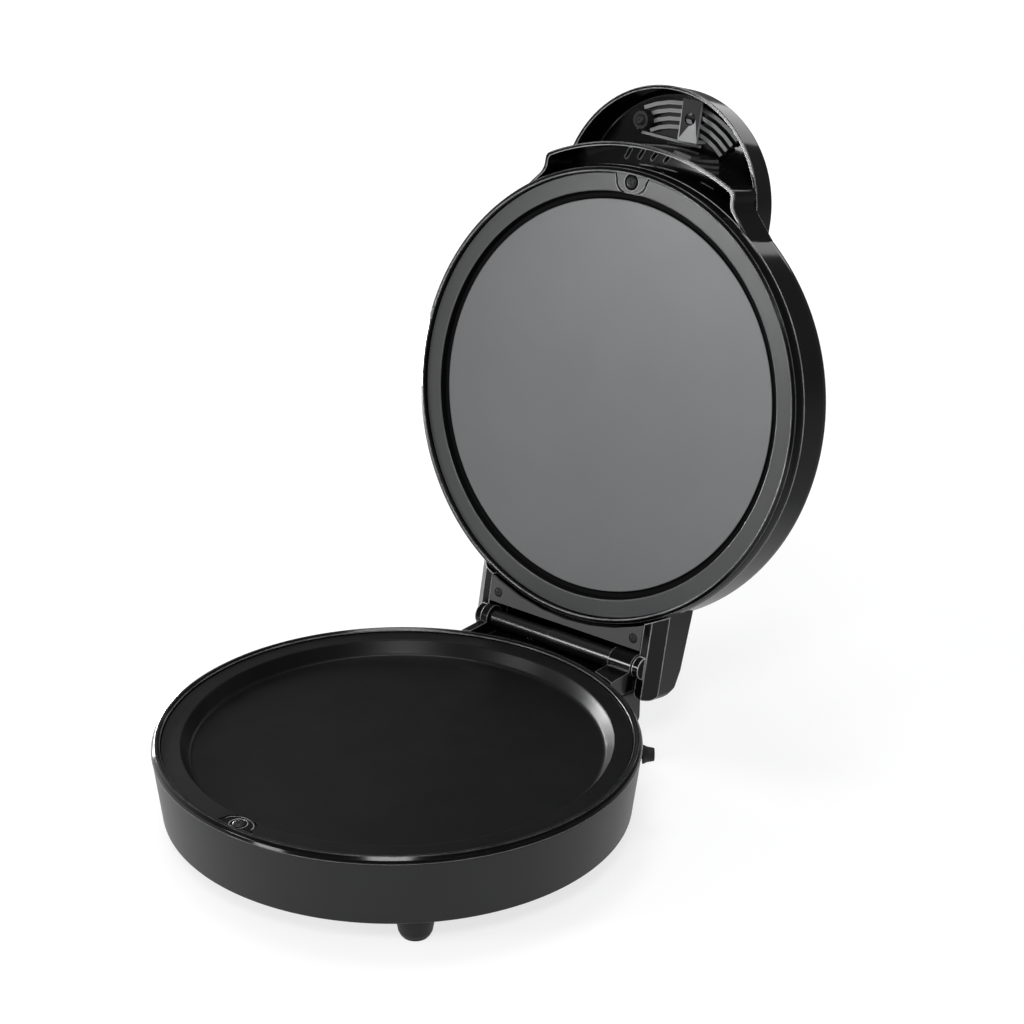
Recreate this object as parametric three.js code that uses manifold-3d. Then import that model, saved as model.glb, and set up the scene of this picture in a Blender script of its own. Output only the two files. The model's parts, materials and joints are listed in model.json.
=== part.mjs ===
// Round electric mini oven: a clamshell cooker with a pan in its base and a heated plate in its hinged lid.
// Millimetres, +Z up. The lid stands open, as at rest, and closes by turning about +X at the back.
// Base and lid are drawn in one closed frame: its origin is the pan's centre at the base rim's top,
// the hinge lies towards +Y, the handle towards -Y, and the lid's pieces have their heights above the rim.
import * as THREE from 'three';
import { mergeVertices } from 'three/addons/utils/BufferGeometryUtils.js';
import Module from 'manifold-3d';

const wasm = await Module();
wasm.setup();

// Driving sizes of the whole appliance
const bodyRadius = 169.9;           // widest circle of the base's rim
const hingeSetback = 16.6;          // hinge axis beyond the base's rim
const hingeReach = bodyRadius + hingeSetback;
const footDrop = 18.5;              // bottom edge of the base's wall above the table
const lidWallTop = 40.9;            // top of the lid's wall above the base rim, lid closed
const bandHalf = 86.5;              // half width of the handle, its band and the hinge block
const openAngle = THREE.MathUtils.degToRad(101.62);

// Clearances, walls and how finely round shapes are cut
const gap = 0.3;
const wall = 2.6;
const lidWall = 2.8;
const overrun = 1;
const ringSides = 48;
const hiddenRingSides = 32;
const barrelSides = 16;
const smallSides = 12;
const tinySides = 8;
const curveSteps = 8;

// Cast plates
const rimBorder = 6.6;              // rim beyond the edge of the cast plate
const landWidth = 13.3;
const flangeRadius = bodyRadius - rimBorder;
const panRadius = flangeRadius - landWidth;  // inner edge of each plate's flat land
const plateThickness = 3;
const landDrop = 2.4;               // land of the lower plate below the rim's top
const panDepth = 10;                // pan floor below the land
const panWallRun = 6;               // how far the pan's sloping wall reaches inwards
const edgeRound = 0.8;
const tubeRadius = 3.6;
const elementShare = 0.653;         // centre line of each heating element, as a share of the pan's radius
const elementRadius = elementShare * panRadius;
const ribHeight = 5;
const ribThickness = 1.8;
const ribLength = 14;
const ribPairs = 4;
const bossRadius = 5;
const bossShare = 0.4;
const bossCircle = bossShare * panRadius;
const bossHeight = 11.6;
const bossCount = 3;
const screwRadius = 1.5;
const screwDepth = 7;
const screwHeadRadius = 3.2;
const screwHeadHeight = 2;

// Heat shields, and the room below the lower one
const shieldThickness = 0.8;
const shieldMargin = 20;            // flat of the shield beyond the element's centre line
const shieldRadius = elementRadius + shieldMargin;
const shieldSlope = 8;
const shieldRimWidth = 5;
const shieldRimRadius = shieldRadius + shieldSlope + shieldRimWidth;
const shieldRimRise = 6.5;
const shieldBack = bossHeight + gap + shieldThickness + gap;
const coverRoom = 20.8;             // lower heat shield to the ends of the posts of the bottom cover
const coverDrop = landDrop + panDepth + plateThickness + shieldBack + coverRoom;
const coverRebate = 3.3;            // posts' ends above the bottom edge of the base's wall
const coverThickness = 2.5;
const wallHeight = coverDrop + coverRebate;
const standHeight = wallHeight + footDrop;   // rim top above the table

// Pin, sleeves and ears of the hinge
const cheekSpan = 15.9;             // each side of the hinge block that reaches past the base's hinge box
const cheekInner = bandHalf - cheekSpan;
const boxHalf = cheekInner - 2 * gap;        // half width of the base's hinge box
const pinRadius = 2.5;
const pinOverhang = 5;
const pinHalf = boxHalf + pinOverhang;
const pinBore = pinRadius + gap;
const sleeveRadius = 6.5;
const earRadius = 9.5;
const leftEarWidth = 6.3;
const rightEarWidth = 20.3;
const sleeveSetoff = 8.7;           // the two sleeves meet this far to the left of the middle

// Base wall and the ledge that carries the rim and the plate
const wallTopRadius = bodyRadius - gap;
const wallTopDrop = 5.3;
const rimSkirt = 8.3;               // rim top to the foot of the rim's inner skirt
const wallDraft = 5.7;              // how much narrower the base's wall is at its foot
const wallFootRadius = wallTopRadius - wallDraft;
const ledgeReach = 5.8;             // how far the ledge reaches in under the plate's flange
const ledgeThickness = 2.5;

// Lid plate, rim and drum, as heights above the base rim with the lid closed
const lidLand = 4.8;
const discMargin = 6;
const lidDiscRadius = panRadius - discMargin;
const discRise = 3.5;               // disc of the plate above its land, in the closed lid
const lidDisc = lidLand + discRise;
const grooveRun = 1.4;              // how far each side of the groove leans
const grooveDepth = 1.6;            // groove floor beyond the disc
const lidInset = 1.1;               // lid's drum inside the base's widest circle
const lidRadius = bodyRadius - lidInset;
const lipInner = flangeRadius + gap;
const lipInset = 1.6;
const lipRadius = lidRadius - lipInset;
const lipHeight = 2.1;
const beadHeight = 0.5;
const rimCrownRun = 1.2;
const rimCrownDrop = 0.6;
const lidRimStep = 2.9;             // lid rim's back beyond the back of the plate's flange
const lidRimTop = lidLand + plateThickness + lidRimStep;
const lidDraft = 0.5;
const lidWallTopRadius = lidRadius - lidDraft;
const crownRise = 14.1;
const crownHeight = lidWallTop + crownRise;
const crownShares = [[0.988, 0.262], [0.96, 0.518], [0.889, 0.688], [0.652, 0.872], [0.355, 0.979], [0, 1]];

// Tab of each rim, with its screw
const tabHalf = 15;
const tabEndHalf = 12;
const tabOverlap = 0.4;             // tab's rounded end inside the pan's edge
const tabEnd = 8.4;                 // tab's rounded end to its screw
const tabScrewReach = panRadius - tabOverlap + tabEnd;
const tabThickness = 1.9;
const tabPlay = 1.6;                // gap between a tab and its pocket in the plate's land
const counterboreRadius = 5.6;
const counterboreDepth = 0.8;
const tabHeadRadius = 4.2;
const tabHeadHeight = 1.3;
const tabScrewLength = 9;
const driveRadius = 1.5;
const driveDepth = 0.8;

// Handle, shoulder and band
const shoulderReach = 15.3;         // shoulder's front beyond the base's rim
const shoulderRadius = bodyRadius + shoulderReach;
const shoulderInset = 3;
const shoulderHalf = bandHalf - shoulderInset;
const shoulderCorner = 9;
const shoulderFlare = 14;           // width of the slanting part at each side of the shoulder
const shoulderFlareRun = 16;
const shoulderSink = 4.9;           // floor of the recess behind the lip, below the top of the lid's wall
const shoulderRecess = lidWallTop - shoulderSink;
const recessFloor = 3;
const handleSpan = 42.6;            // shoulder's front to the handle's tip
const handleCentre = shoulderRadius + handleSpan - bandHalf;
const handleLap = 1.1;
const handleUnder = lidWallTop - handleLap;  // underside of the handle above the base rim, lid closed
const handleHeight = 25.9;
const handleTop = handleUnder + handleHeight;
const handleDraft = 1.7;
const handleRound = 4;
const handleWall = 2.8;
const bandDipDrop = 2;
const bandDip = crownHeight - bandDipDrop;   // height of the band where it runs out into the crown
const bandLevelSetback = 33.3;
const bandLevelReach = handleCentre - bandLevelSetback;
const bandDipShare = 0.2667;
const bandDipReach = -bandDipShare * panRadius;
const bandSteps = 6;
const handleSteps = 12;
const ribSteps = 8;
const ventCount = 4;
const ventPitch = 11.6;
const ventLength = 9;
const ventWidth = 2.6;
const ventInset = 8.3;              // vents' middle behind the shoulder's front
const ventReach = shoulderRadius - ventInset;
const ventAside = 10.2;             // middle of the row of vents, left of the middle
const ventSlant = THREE.MathUtils.degToRad(32);

// Hinge block of the lid, by how far each corner lies beyond the hinge axis and above the base rim
const blockUnder = 9;
const blockFootReach = hingeReach + 2 * blockUnder;
const blockHeel = 13;
const blockTail = 21;
const blockEnd = hingeReach + blockTail;
const blockWidest = 22;
const blockTopDrop = 0.5;
const blockTop = lidWallTop - blockTopDrop;
const blockSlopeTail = 3.5;
const blockSlopeReach = hingeReach + blockSlopeTail;
const blockSlopeDrop = 5.2;
const blockSlope = blockTop - blockSlopeDrop;
const blockCrestTail = 17;
const blockCrestReach = hingeReach + blockCrestTail;
const blockCrestDrop = 4.7;
const blockCrest = blockSlope - blockCrestDrop;
const blockOpening = 14;            // the block's end wall starts here, so that it clears the base
const cheekFlange = 4.4;            // level part of each cheek's underside
const cheekFoot = 3;                // cheeks' rounded feet beyond the block's end
const cheekEnd = blockEnd + cheekFoot;
const cheekRound = 6.5;
const lugRadius = 8;
const lugWidth = 5.5;
const stopRibAt = 35;
const stopRibThickness = 4;
const stopRibFrom = 5;
const stopRibTo = 17.5;
const skirtSetback = 12;            // hinge axis to the skirt's straight edge, lid closed
const skirtEdge = hingeReach - skirtSetback;
const skirtThickness = 2.5;
const skirtLip = 11.5;
const skirtScrewInset = 7;
const skirtScrewX = boxHalf - skirtScrewInset;
const skirtScrewSetback = 7.8;
const skirtScrewReach = skirtEdge - skirtScrewSetback;
const skirtBossRadius = 4.6;
const skirtHeadRadius = 3.6;
const skirtHeadHeight = 1.2;
const skirtScrewLength = 9;

// Hinge box and saddle of the base
const saddleTop = 1;                // depth of the saddle's top below the rim's top
const saddleFrontDrop = 12.7;
const saddleRearDrop = 18.9;
const saddleSetback = 9;            // hinge axis to the end of the level top, before the ears
const saddleLevelEnd = hingeReach - saddleSetback;
const troughDrop = 12;
const boxDepth = 57.2;
const boxTail = 6.7;                // hinge box beyond the hinge axis
const boxRear = hingeReach + boxTail;
const boxFront = boxRear - boxDepth;
const boxRearTop = 22;
const boxRearLean = 1.7;
const boxRearShoulder = 44;
const boxFootTail = 1;
const boxRearFoot = hingeReach + boxFootTail;
const stopDepth = 9;                // the saddle's rear face, below the open lid's axis plane
const stopFrom = 4;
const stopTo = 17;

// Feet, cover screws, vents of the bottom cover
const frontFootInset = 17;
const frontFootReach = wallFootRadius - frontFootInset;
const frontFootAngle = THREE.MathUtils.degToRad(45);
const rearFootInset = 18;
const rearFootX = boxHalf - rearFootInset;
const rearFootSetback = 17.5;
const rearFootY = boxRearFoot - rearFootSetback;
const footTopRadius = 13.8;
const footEndRadius = 11.2;
const footSpigotRadius = 4.7;
const footBevel = 2.4;
const padRadius = 9;
const padSink = 1.8;
const padProud = 1.5;
const postRadius = 4.5;
const postInset = 6.2;
const postCircle = wallFootRadius - postInset;
const postHeight = 14;
const coverScrewLength = 10;
const coverScrewAngles = [12, 168, -72, -108].map(THREE.MathUtils.degToRad);
const coverVentCount = 8;
const coverVentShare = 0.56;
const coverVentCircle = coverVentShare * panRadius;
const coverVentLength = 40;
const coverVentWidth = 3;

// Electrical pieces
const terminalGap = THREE.MathUtils.degToRad(16);   // half the opening between the element's ends
const elementLeg = 12;
const elementBend = 9;
const elementBendSteps = 3;
const elementSides = 6;
const elementSteps = 28;
const thermostatRadius = 8;
const thermostatHeight = 5;
const strapLength = 32;
const strapWidth = 9;
const strapThickness = 0.9;
const bladeLength = 6;
const bladeWidth = 5;
const bladeThickness = 0.8;
const fuseRadius = 2.2;
const fuseLength = 26;
const leadRadius = 0.8;
const leadLength = 8;
const fuseShare = 0.2;
const fuseAt = fuseShare * panRadius;
const terminalLength = 38;
const terminalWidth = 16;
const terminalHeight = 12;
const terminalPoles = 3;
const terminalPitch = 11;
const terminalScrewRadius = 2.4;
const terminalShare = 0.467;
const terminalAt = -terminalShare * panRadius;
const terminalSeat = 2;

// Cord gland at the right rear of the base
const glandAngle = THREE.MathUtils.degToRad(38);
const glandDrop = 16;
const glandRootRadius = 6.9;
const glandWaistRadius = 5.6;
const glandTipRadius = 4.5;
const glandLength = 8.6;
const glandWaist = 3.2;             // length of the gland's flared root
const glandTipBevel = 0.8;
const glandBore = 1.8;
const glandNeckRadius = 3.2;
const glandFlangeRadius = 4.5;
const glandFlange = 2.5;

// Pieces in and on the handle
const ribCount = 4;
const ribInset = 31;
const ribFirst = bandHalf - ribInset;
const ribPitch = 5.8;
const ribWidth = 2.8;
const ribLift = 4;
const ribPlate = 1.2;
const ribLeftClear = 5.5;           // ribs' left ends beyond the shoulder's front
const ribRightLap = 2.7;            // ribs' right ends behind the shoulder's foremost point
const ribFrom = -Math.acos((shoulderRadius + ribLeftClear - handleCentre) / ribFirst);
const ribTo = Math.acos((shoulderRadius - ribRightLap - handleCentre) / ribFirst);
const bracketX = 13.3;
const bracketWidth = 16.5;
const bracketClear = 4.3;           // bracket's near edge beyond the shoulder's front
const bracketNear = shoulderRadius + bracketClear;
const bracketLength = 30;
const bracketHoleAt = 16.5;
const bracketReach = bracketNear + bracketHoleAt;
const bracketLift = 8.2;
const bracketUnder = handleUnder + bracketLift;
const bracketThickness = 2;
const bracketHole = 4.6;
const barLeft = -33;
const barLeftClear = 4.3;
const barRight = 20;
const barRightClear = 1.8;
const barFrom = [barLeft, shoulderRadius + barLeftClear];
const barTo = [barRight, shoulderRadius + barRightClear];
const barWidth = 2;
const bossX = -30.7;
const bossClear = 13.5;
const bossReach = shoulderRadius + bossClear;
const roundBossRadius = 6.6;
const gussetLength = 13;
const gussetThickness = 2.4;
const gussetAngle = THREE.MathUtils.degToRad(35);
const handleScrewRadius = 4;
const lampX = 15;
const lampSetback = 3.3;
const lampReach = handleCentre - lampSetback;
const lampRadius = 4.2;
const lampFlange = 6;
const lampFlangeHeight = 1.2;
const lampDome = 1.6;
const lampBody = 12;

// Colours and finishes
const finishes = {
  glossBlack: { color: 0x0b0b0c, roughness: 0.22, metalness: 0 },
  satinGrey: { color: 0x1f2021, roughness: 0.5, metalness: 0 },
  matteBlack: { color: 0x151516, roughness: 0.7, metalness: 0 },
  nonStick: { color: 0x4d4f50, roughness: 0.45, metalness: 0.3 },
  steel: { color: 0x9a9c9e, roughness: 0.35, metalness: 1 },
  darkSteel: { color: 0x5a5c5e, roughness: 0.4, metalness: 1 },
  rubber: { color: 0x18181a, roughness: 0.9, metalness: 0 },
  ceramic: { color: 0xd8d2c4, roughness: 0.6, metalness: 0 },
  redLens: { color: 0xa01814, roughness: 0.2, metalness: 0 },
  greenLens: { color: 0x1c7a34, roughness: 0.2, metalness: 0 },
};

// Solids

// Merges shared vertices, drops collapsed triangles and turns every face outwards.
function weld(geometry) {
  const bare = new THREE.BufferGeometry();
  bare.setAttribute('position', geometry.getAttribute('position').clone());
  if (geometry.index) bare.setIndex(geometry.index.clone());
  const merged = mergeVertices(bare);
  const index = merged.index.array;
  const kept = [];
  for (let i = 0; i < index.length; i += 3) {
    const [a, b, c] = [index[i], index[i + 1], index[i + 2]];
    if (a !== b && b !== c && c !== a) kept.push(a, b, c);
  }
  const corner = [new THREE.Vector3(), new THREE.Vector3(), new THREE.Vector3()];
  let volume = 0;
  for (let i = 0; i < kept.length; i += 3) {
    corner.forEach((p, k) => p.fromBufferAttribute(merged.attributes.position, kept[i + k]));
    volume += corner[0].dot(corner[1].cross(corner[2]));
  }
  merged.setIndex(volume < 0 ? kept.reverse() : kept);
  return merged;
}

function solid(geometry) {
  const welded = weld(geometry);
  return new wasm.Manifold(new wasm.Mesh({
    numProp: 3,
    vertProperties: welded.attributes.position.array,
    triVerts: new Uint32Array(welded.index.array),
  }));
}

const join = (first, ...others) => others.reduce((sum, other) => sum.add(other), first);
const cut = (body, ...tools) => tools.reduce((left, tool) => left.subtract(tool), body);

function geometryOf(body) {
  const mesh = body.getMesh();
  const geometry = new THREE.BufferGeometry();
  geometry.setAttribute('position', new THREE.BufferAttribute(mesh.vertProperties, 3));
  geometry.setIndex(new THREE.BufferAttribute(mesh.triVerts, 1));
  return geometry;
}

// Turns a profile of [radius, height] points about +Z. It runs from axis to axis, or is closed by ring().
function turned(profile, sides = ringSides) {
  const points = profile.map(([radius, height]) => new THREE.Vector2(radius, height));
  return solid(new THREE.LatheGeometry(points, sides).rotateX(Math.PI / 2));
}

const ring = (profile, sides) => turned([...profile, profile[0]], sides);

function rod(radius, from, to, sides = smallSides) {
  return turned([[0, from], [radius, from], [radius, to], [0, to]], sides);
}

function sleeve(inner, outer, from, to, sides = smallSides) {
  return ring([[inner, from], [outer, from], [outer, to], [inner, to]], sides);
}

const along = {
  x: new THREE.Matrix4().makeBasis(
    new THREE.Vector3(0, 1, 0), new THREE.Vector3(0, 0, 1), new THREE.Vector3(1, 0, 0)),
};

// A manifold moved, after turning by Euler angles
function placed(body, position, turn = [0, 0, 0]) {
  const matrix = new THREE.Matrix4().makeRotationFromEuler(new THREE.Euler(...turn));
  matrix.setPosition(...position);
  return solid(geometryOf(body).applyMatrix4(matrix));
}

// A round bar along +X between two places
function crossRod(radius, fromX, toX, y, z, sides = smallSides) {
  const geometry = geometryOf(rod(radius, fromX, toX, sides)).applyMatrix4(along.x);
  return solid(geometry.translate(0, y, z));
}

function shapeOf(outline) {
  if (outline instanceof THREE.Shape) return outline;
  return new THREE.Shape(outline.map(([x, y]) => new THREE.Vector2(x, y)));
}

// An outline in X and Y, raised between two heights
function plate(outline, from, to) {
  const geometry = new THREE.ExtrudeGeometry(shapeOf(outline), {
    depth: to - from, bevelEnabled: false, curveSegments: curveSteps,
  });
  return solid(geometry.translate(0, 0, from));
}

// An outline in Y and Z, drawn out along X
function slice(outline, fromX, toX) {
  const geometry = new THREE.ExtrudeGeometry(shapeOf(outline), {
    depth: toX - fromX, bevelEnabled: false, curveSegments: curveSteps,
  });
  return solid(geometry.applyMatrix4(along.x).translate(fromX, 0, 0));
}

function box([x0, x1], [y0, y1], [z0, z1]) {
  const geometry = new THREE.BoxGeometry(x1 - x0, y1 - y0, z1 - z0);
  return solid(geometry.translate((x0 + x1) / 2, (y0 + y1) / 2, (z0 + z1) / 2));
}

const around = (radius, angle) => [radius * Math.cos(angle), radius * Math.sin(angle)];
const evenly = (count, turn = 2 * Math.PI) => Array.from({ length: count }, (_, i) => (i / count) * turn);

// Skins a row of closed sections that have equal point counts.
function loft(sections) {
  const count = sections[0].length;
  const positions = sections.flat(2);
  const index = [];
  for (let s = 0; s + 1 < sections.length; s += 1) {
    for (let i = 0; i < count; i += 1) {
      const a = s * count + i;
      const b = s * count + (i + 1) % count;
      index.push(a, b, b + count, a, b + count, a + count);
    }
  }
  const last = (sections.length - 1) * count;
  for (let i = 1; i + 1 < count; i += 1) {
    index.push(0, i + 1, i, last, last + i, last + i + 1);
  }
  const geometry = new THREE.BufferGeometry();
  geometry.setAttribute('position', new THREE.Float32BufferAttribute(positions, 3));
  geometry.setIndex(index);
  return solid(geometry);
}

// A point of the open lid, as [y, z] in the base's frame, from its reach towards the handle beyond the
// hinge axis and its depth on the lid's outer side.
function openPoint(reach, depth) {
  const [sin, cos] = [Math.sin(openAngle), Math.cos(openAngle)];
  return [hingeReach - reach * cos + depth * sin, reach * sin + depth * cos];
}

// A screw with its head up: the head's underside lies at zero.
function screw(headRadius, headHeight, length) {
  const bevel = headHeight / 3;
  return turned([
    [0, headHeight - driveDepth], [driveRadius, headHeight - driveDepth], [driveRadius, headHeight],
    [headRadius - bevel, headHeight], [headRadius, headHeight - bevel], [headRadius, 0], [screwRadius, 0],
    [screwRadius, -length], [0, -length],
  ], smallSides);
}

// A hidden screw, with a plain head
const plainScrew = (headRadius, headHeight, length) => turned([
  [0, headHeight], [headRadius, headHeight], [headRadius, 0],
  [screwRadius, 0], [screwRadius, -length], [0, -length],
], tinySides);

// A solid turned upside down and put at a place
const flipped = (body, position) => placed(body, position, [Math.PI, 0, 0]);

const sorted = (a, b) => [Math.min(a, b), Math.max(a, b)];

// An outline in X and Z, drawn out along Y
function frontSlice(outline, fromY, toY) {
  const geometry = new THREE.ExtrudeGeometry(shapeOf(outline), { depth: toY - fromY, bevelEnabled: false });
  return solid(geometry.rotateX(Math.PI / 2).translate(0, toY, 0));
}

// Rim tab, seen from its plate: wide at the rim, rounded at its end, and lying at the front
function tabOutline(play) {
  const shape = new THREE.Shape();
  const root = lipInner + overrun / 2 + play;
  const end = tabEndHalf + play;
  const reach = tabEnd + play;
  shape.moveTo(-tabHalf - play, -root);
  shape.lineTo(-end, -tabScrewReach);
  shape.absellipse(0, -tabScrewReach, end, reach, Math.PI, 0, true, 0);
  shape.lineTo(tabHalf + play, -root);
  return shape;
}

const atTab = (z) => [0, -tabScrewReach, z];

// Rim ring with its tab. The tab's outer side is at face, and inwards is the way into the housing.
function rimWithTab(profile, face, inwards) {
  const tab = plate(tabOutline(0), ...sorted(face, face + inwards * tabThickness));
  const hole = rod(screwRadius + gap, ...sorted(face - inwards * overrun, face + inwards * 2 * tabThickness));
  const counterbore = rod(
    counterboreRadius, ...sorted(face - inwards * 2 * overrun, face + inwards * counterboreDepth));
  return cut(join(ring(profile), tab), placed(hole, atTab(0)), placed(counterbore, atTab(0)));
}

const bossPlaces = evenly(bossCount).map((angle) => [...around(bossCircle, angle + Math.PI / 2), 0]);

// Plate casting: pairs of ribs that hold the element, bosses for the shield, and the pocket for the rim's tab
function castPlate(profile, face, back, inwards) {
  const rooted = (length) => sorted(back - inwards * edgeRound, back + inwards * length);
  const reach = tubeRadius + 2 * gap + ribThickness;
  const rib = cut(
    box([-reach, reach], [-ribLength / 2, ribLength / 2], rooted(ribHeight)),
    box([ribThickness - reach, reach - ribThickness], [-ribLength, ribLength], rooted(ribHeight + overrun)));
  const ribs = evenly(ribPairs).flatMap((angle) => placed(
    rib, [...around(elementRadius, angle - Math.PI / 4), 0], [0, 0, angle - Math.PI / 4]));
  const bossEnd = back + inwards * bossHeight;
  const boss = rod(bossRadius, ...rooted(bossHeight));
  const bore = rod(
    screwRadius + gap, ...sorted(bossEnd - inwards * (screwDepth + gap), bossEnd + inwards * overrun));
  const pocketSpan = sorted(face - inwards * 2 * overrun, face + inwards * (tabThickness + gap));
  const pocket = cut(
    plate(tabOutline(tabPlay), ...pocketSpan),
    rod(panRadius - edgeRound - gap, pocketSpan[0] - overrun, pocketSpan[1] + overrun, ringSides));
  const tabHole = rod(screwRadius + gap, ...sorted(face, face + inwards * 2 * plateThickness));
  const bosses = bossPlaces.map((place) => placed(boss, place));
  const bores = bossPlaces.map((place) => placed(bore, place));
  return cut(join(turned(profile), ...ribs, ...bosses), pocket, placed(tabHole, atTab(0)), ...bores);
}

// Bent rod of a heating element: a ring with an opening at the back and two legs that turn inwards
function makeElement(back, inwards) {
  const height = back + inwards * (tubeRadius + gap);
  const sweep = 2 * (Math.PI - terminalGap);
  const from = Math.PI / 2 + terminalGap;
  const arc = Array.from({ length: elementSteps + 1 }, (_, i) => new THREE.Vector3(
    ...around(elementRadius, from + (i / elementSteps) * sweep), height));
  const leg = (end, angle, side) => {
    const forward = new THREE.Vector3(...around(side, angle + Math.PI / 2), 0);
    const points = [];
    for (let i = 1; i <= elementBendSteps; i += 1) {
      const turn = (i / elementBendSteps) * (Math.PI / 2);
      const point = end.clone().addScaledVector(forward, elementBend * Math.sin(turn));
      point.z += inwards * elementBend * (1 - Math.cos(turn));
      points.push(point);
    }
    const tip = points[points.length - 1].clone();
    tip.z += inwards * elementLeg;
    return [...points, tip];
  };
  const path = new THREE.CatmullRomCurve3([
    ...leg(arc[0], from, -1).reverse(), ...arc, ...leg(arc[elementSteps], from + sweep, 1),
  ]);
  const section = shapeOf(evenly(elementSides).map((angle) => around(tubeRadius, angle)));
  return solid(new THREE.ExtrudeGeometry(section, {
    steps: elementSteps + 4 * elementBendSteps, bevelEnabled: false, extrudePath: path,
  }));
}

// Pressed sheet dish behind an element: back is the back of the cast plate
function makeShield(back, inwards) {
  const face = back + inwards * (bossHeight + gap);
  const rim = face - inwards * shieldRimRise;
  const thick = inwards * shieldThickness;
  const dish = turned([
    [0, face], [shieldRadius, face], [shieldRadius + shieldSlope, rim], [shieldRimRadius, rim],
    [shieldRimRadius, rim + thick], [shieldRadius + shieldSlope, rim + thick], [shieldRadius, face + thick],
    [0, face + thick],
  ], hiddenRingSides);
  const through = sorted(face - inwards * overrun, face + inwards * (shieldThickness + overrun));
  const hole = rod(screwRadius + gap, ...through);
  const centre = rod(thermostatRadius, ...through);
  const window = box(
    [-elementRadius * Math.sin(terminalGap), elementRadius * Math.sin(terminalGap)],
    [elementRadius - 3 * tubeRadius, elementRadius + 2 * tubeRadius], through);
  return cut(dish, ...bossPlaces.map((place) => placed(hole, place)), centre, window);
}

// Disc thermostat with its strap and two blades, standing on the back of the cast plate
function makeThermostat(back, inwards) {
  const from = back + inwards * gap;
  const body = rod(thermostatRadius, ...sorted(from, from + inwards * thermostatHeight));
  const strap = box(
    [-strapLength / 2, strapLength / 2], [-strapWidth / 2, strapWidth / 2],
    sorted(from, from + inwards * strapThickness));
  const bladeSpan = sorted(from + inwards * strapThickness, from + inwards * (thermostatHeight + bladeLength));
  const blades = [-1, 1].map((side) => box(
    sorted(side * thermostatRadius / 2, side * (thermostatRadius / 2 + bladeThickness)),
    [-bladeWidth / 2, bladeWidth / 2], bladeSpan));
  return join(body, strap, ...blades);
}

// Heights and radii that follow from the driving sizes

const flangeUnder = -landDrop - plateThickness;
const panFloor = -landDrop - panDepth;
const panBack = panFloor - plateThickness;
const rimSeat = -rimSkirt - gap;
const coverTop = -coverDrop - gap;
const coverFoot = coverTop - coverThickness;
const footTop = coverFoot - gap;
const footEnd = padProud - standHeight;
const padSeat = footEnd + padSink;
const lidFlangeBack = lidLand + plateThickness;
const lidBack = lidDisc + plateThickness;
const lidRimSeat = lidRimTop + gap;
const ledgeInner = flangeRadius - ledgeReach;
const recessRadius = shoulderRadius - handleWall;

function wallRadiusAt(drop) {
  const share = (drop - wallTopDrop) / (wallHeight - wallTopDrop);
  return wallTopRadius + (wallFootRadius - wallTopRadius) * share;
}

// Base pieces

// Side view of the hinge box, as [y, z]; inset draws in its top and its back
function hingeBoxOutline(inset, foot) {
  return [
    [boxFront, foot], [boxRearFoot - inset, foot], [boxRear - inset, -boxRearShoulder],
    [boxRear - inset, -boxRearTop - inset],
    [boxRear - boxRearLean - inset, -saddleRearDrop - gap - inset],
    [boxFront, -saddleFrontDrop - gap - inset],
  ];
}

function makeBaseHousing() {
  const insideTop = wallTopRadius - wall;
  const ledgeFoot = rimSeat - ledgeThickness;
  const ledgeTop = flangeUnder - gap;
  const stepRadius = lipInner - gap;
  const shell = ring([
    [wallTopRadius, -wallTopDrop], [wallFootRadius, -wallHeight], [wallFootRadius - wall, -wallHeight],
    [wallRadiusAt(-ledgeFoot) - wall, ledgeFoot], [stepRadius, ledgeFoot],
    [ledgeInner, ledgeTop - ledgeThickness], [ledgeInner, ledgeTop], [stepRadius, ledgeTop],
    [stepRadius, rimSeat], [insideTop, rimSeat], [insideTop, -wallTopDrop],
  ]);
  const inside = turned([
    [0, -wallHeight - overrun], [wallFootRadius - wall, -wallHeight - overrun],
    [insideTop, -wallTopDrop], [0, -wallTopDrop],
  ]);
  const boxOuter = cut(slice(hingeBoxOutline(0, -wallHeight), -boxHalf, boxHalf), inside);
  const boxInner = slice(hingeBoxOutline(wall, -wallHeight - overrun), wall - boxHalf, boxHalf - wall);
  const post = rod(postRadius, -coverDrop, postHeight - coverDrop);
  const postBore = rod(screwRadius + gap, -coverDrop - overrun, postHeight - coverDrop - screwDepth / 2);
  const tabBoss = rod(postRadius, rimSeat - screwDepth, ledgeTop);
  const tabBore = rod(screwRadius + gap, rimSeat - screwDepth - overrun, 0);
  const glandHole = crossRod(glandNeckRadius + gap, ledgeInner, bodyRadius + ledgeReach, 0, 0);
  const posts = coverScrewPlaces.map((place) => placed(post, place));
  const postBores = coverScrewPlaces.map((place) => placed(postBore, place));
  return cut(
    join(cut(join(shell, boxOuter), boxInner), ...posts, placed(tabBoss, atTab(0))),
    ...postBores, placed(tabBore, atTab(0)), placed(glandHole, [0, 0, -glandDrop], [0, 0, glandAngle]));
}

function makeBaseRim() {
  const seat = rimSeat + gap;
  const edge = gap - wallTopDrop;
  const skirtRadius = wallTopRadius - wall - gap;
  return rimWithTab([
    [lipInner, seat], [lipInner, -rimCrownRun], [lipInner + rimCrownRun, -rimCrownDrop],
    [lipRadius - rimCrownRun, 0], [lipRadius, -rimCrownDrop / 2],
    [bodyRadius - rimCrownDrop, edge + 2 * rimCrownRun],
    [bodyRadius, edge + rimCrownDrop], [bodyRadius, edge], [skirtRadius, edge], [skirtRadius, seat],
  ], -landDrop, -1);
}

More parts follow.
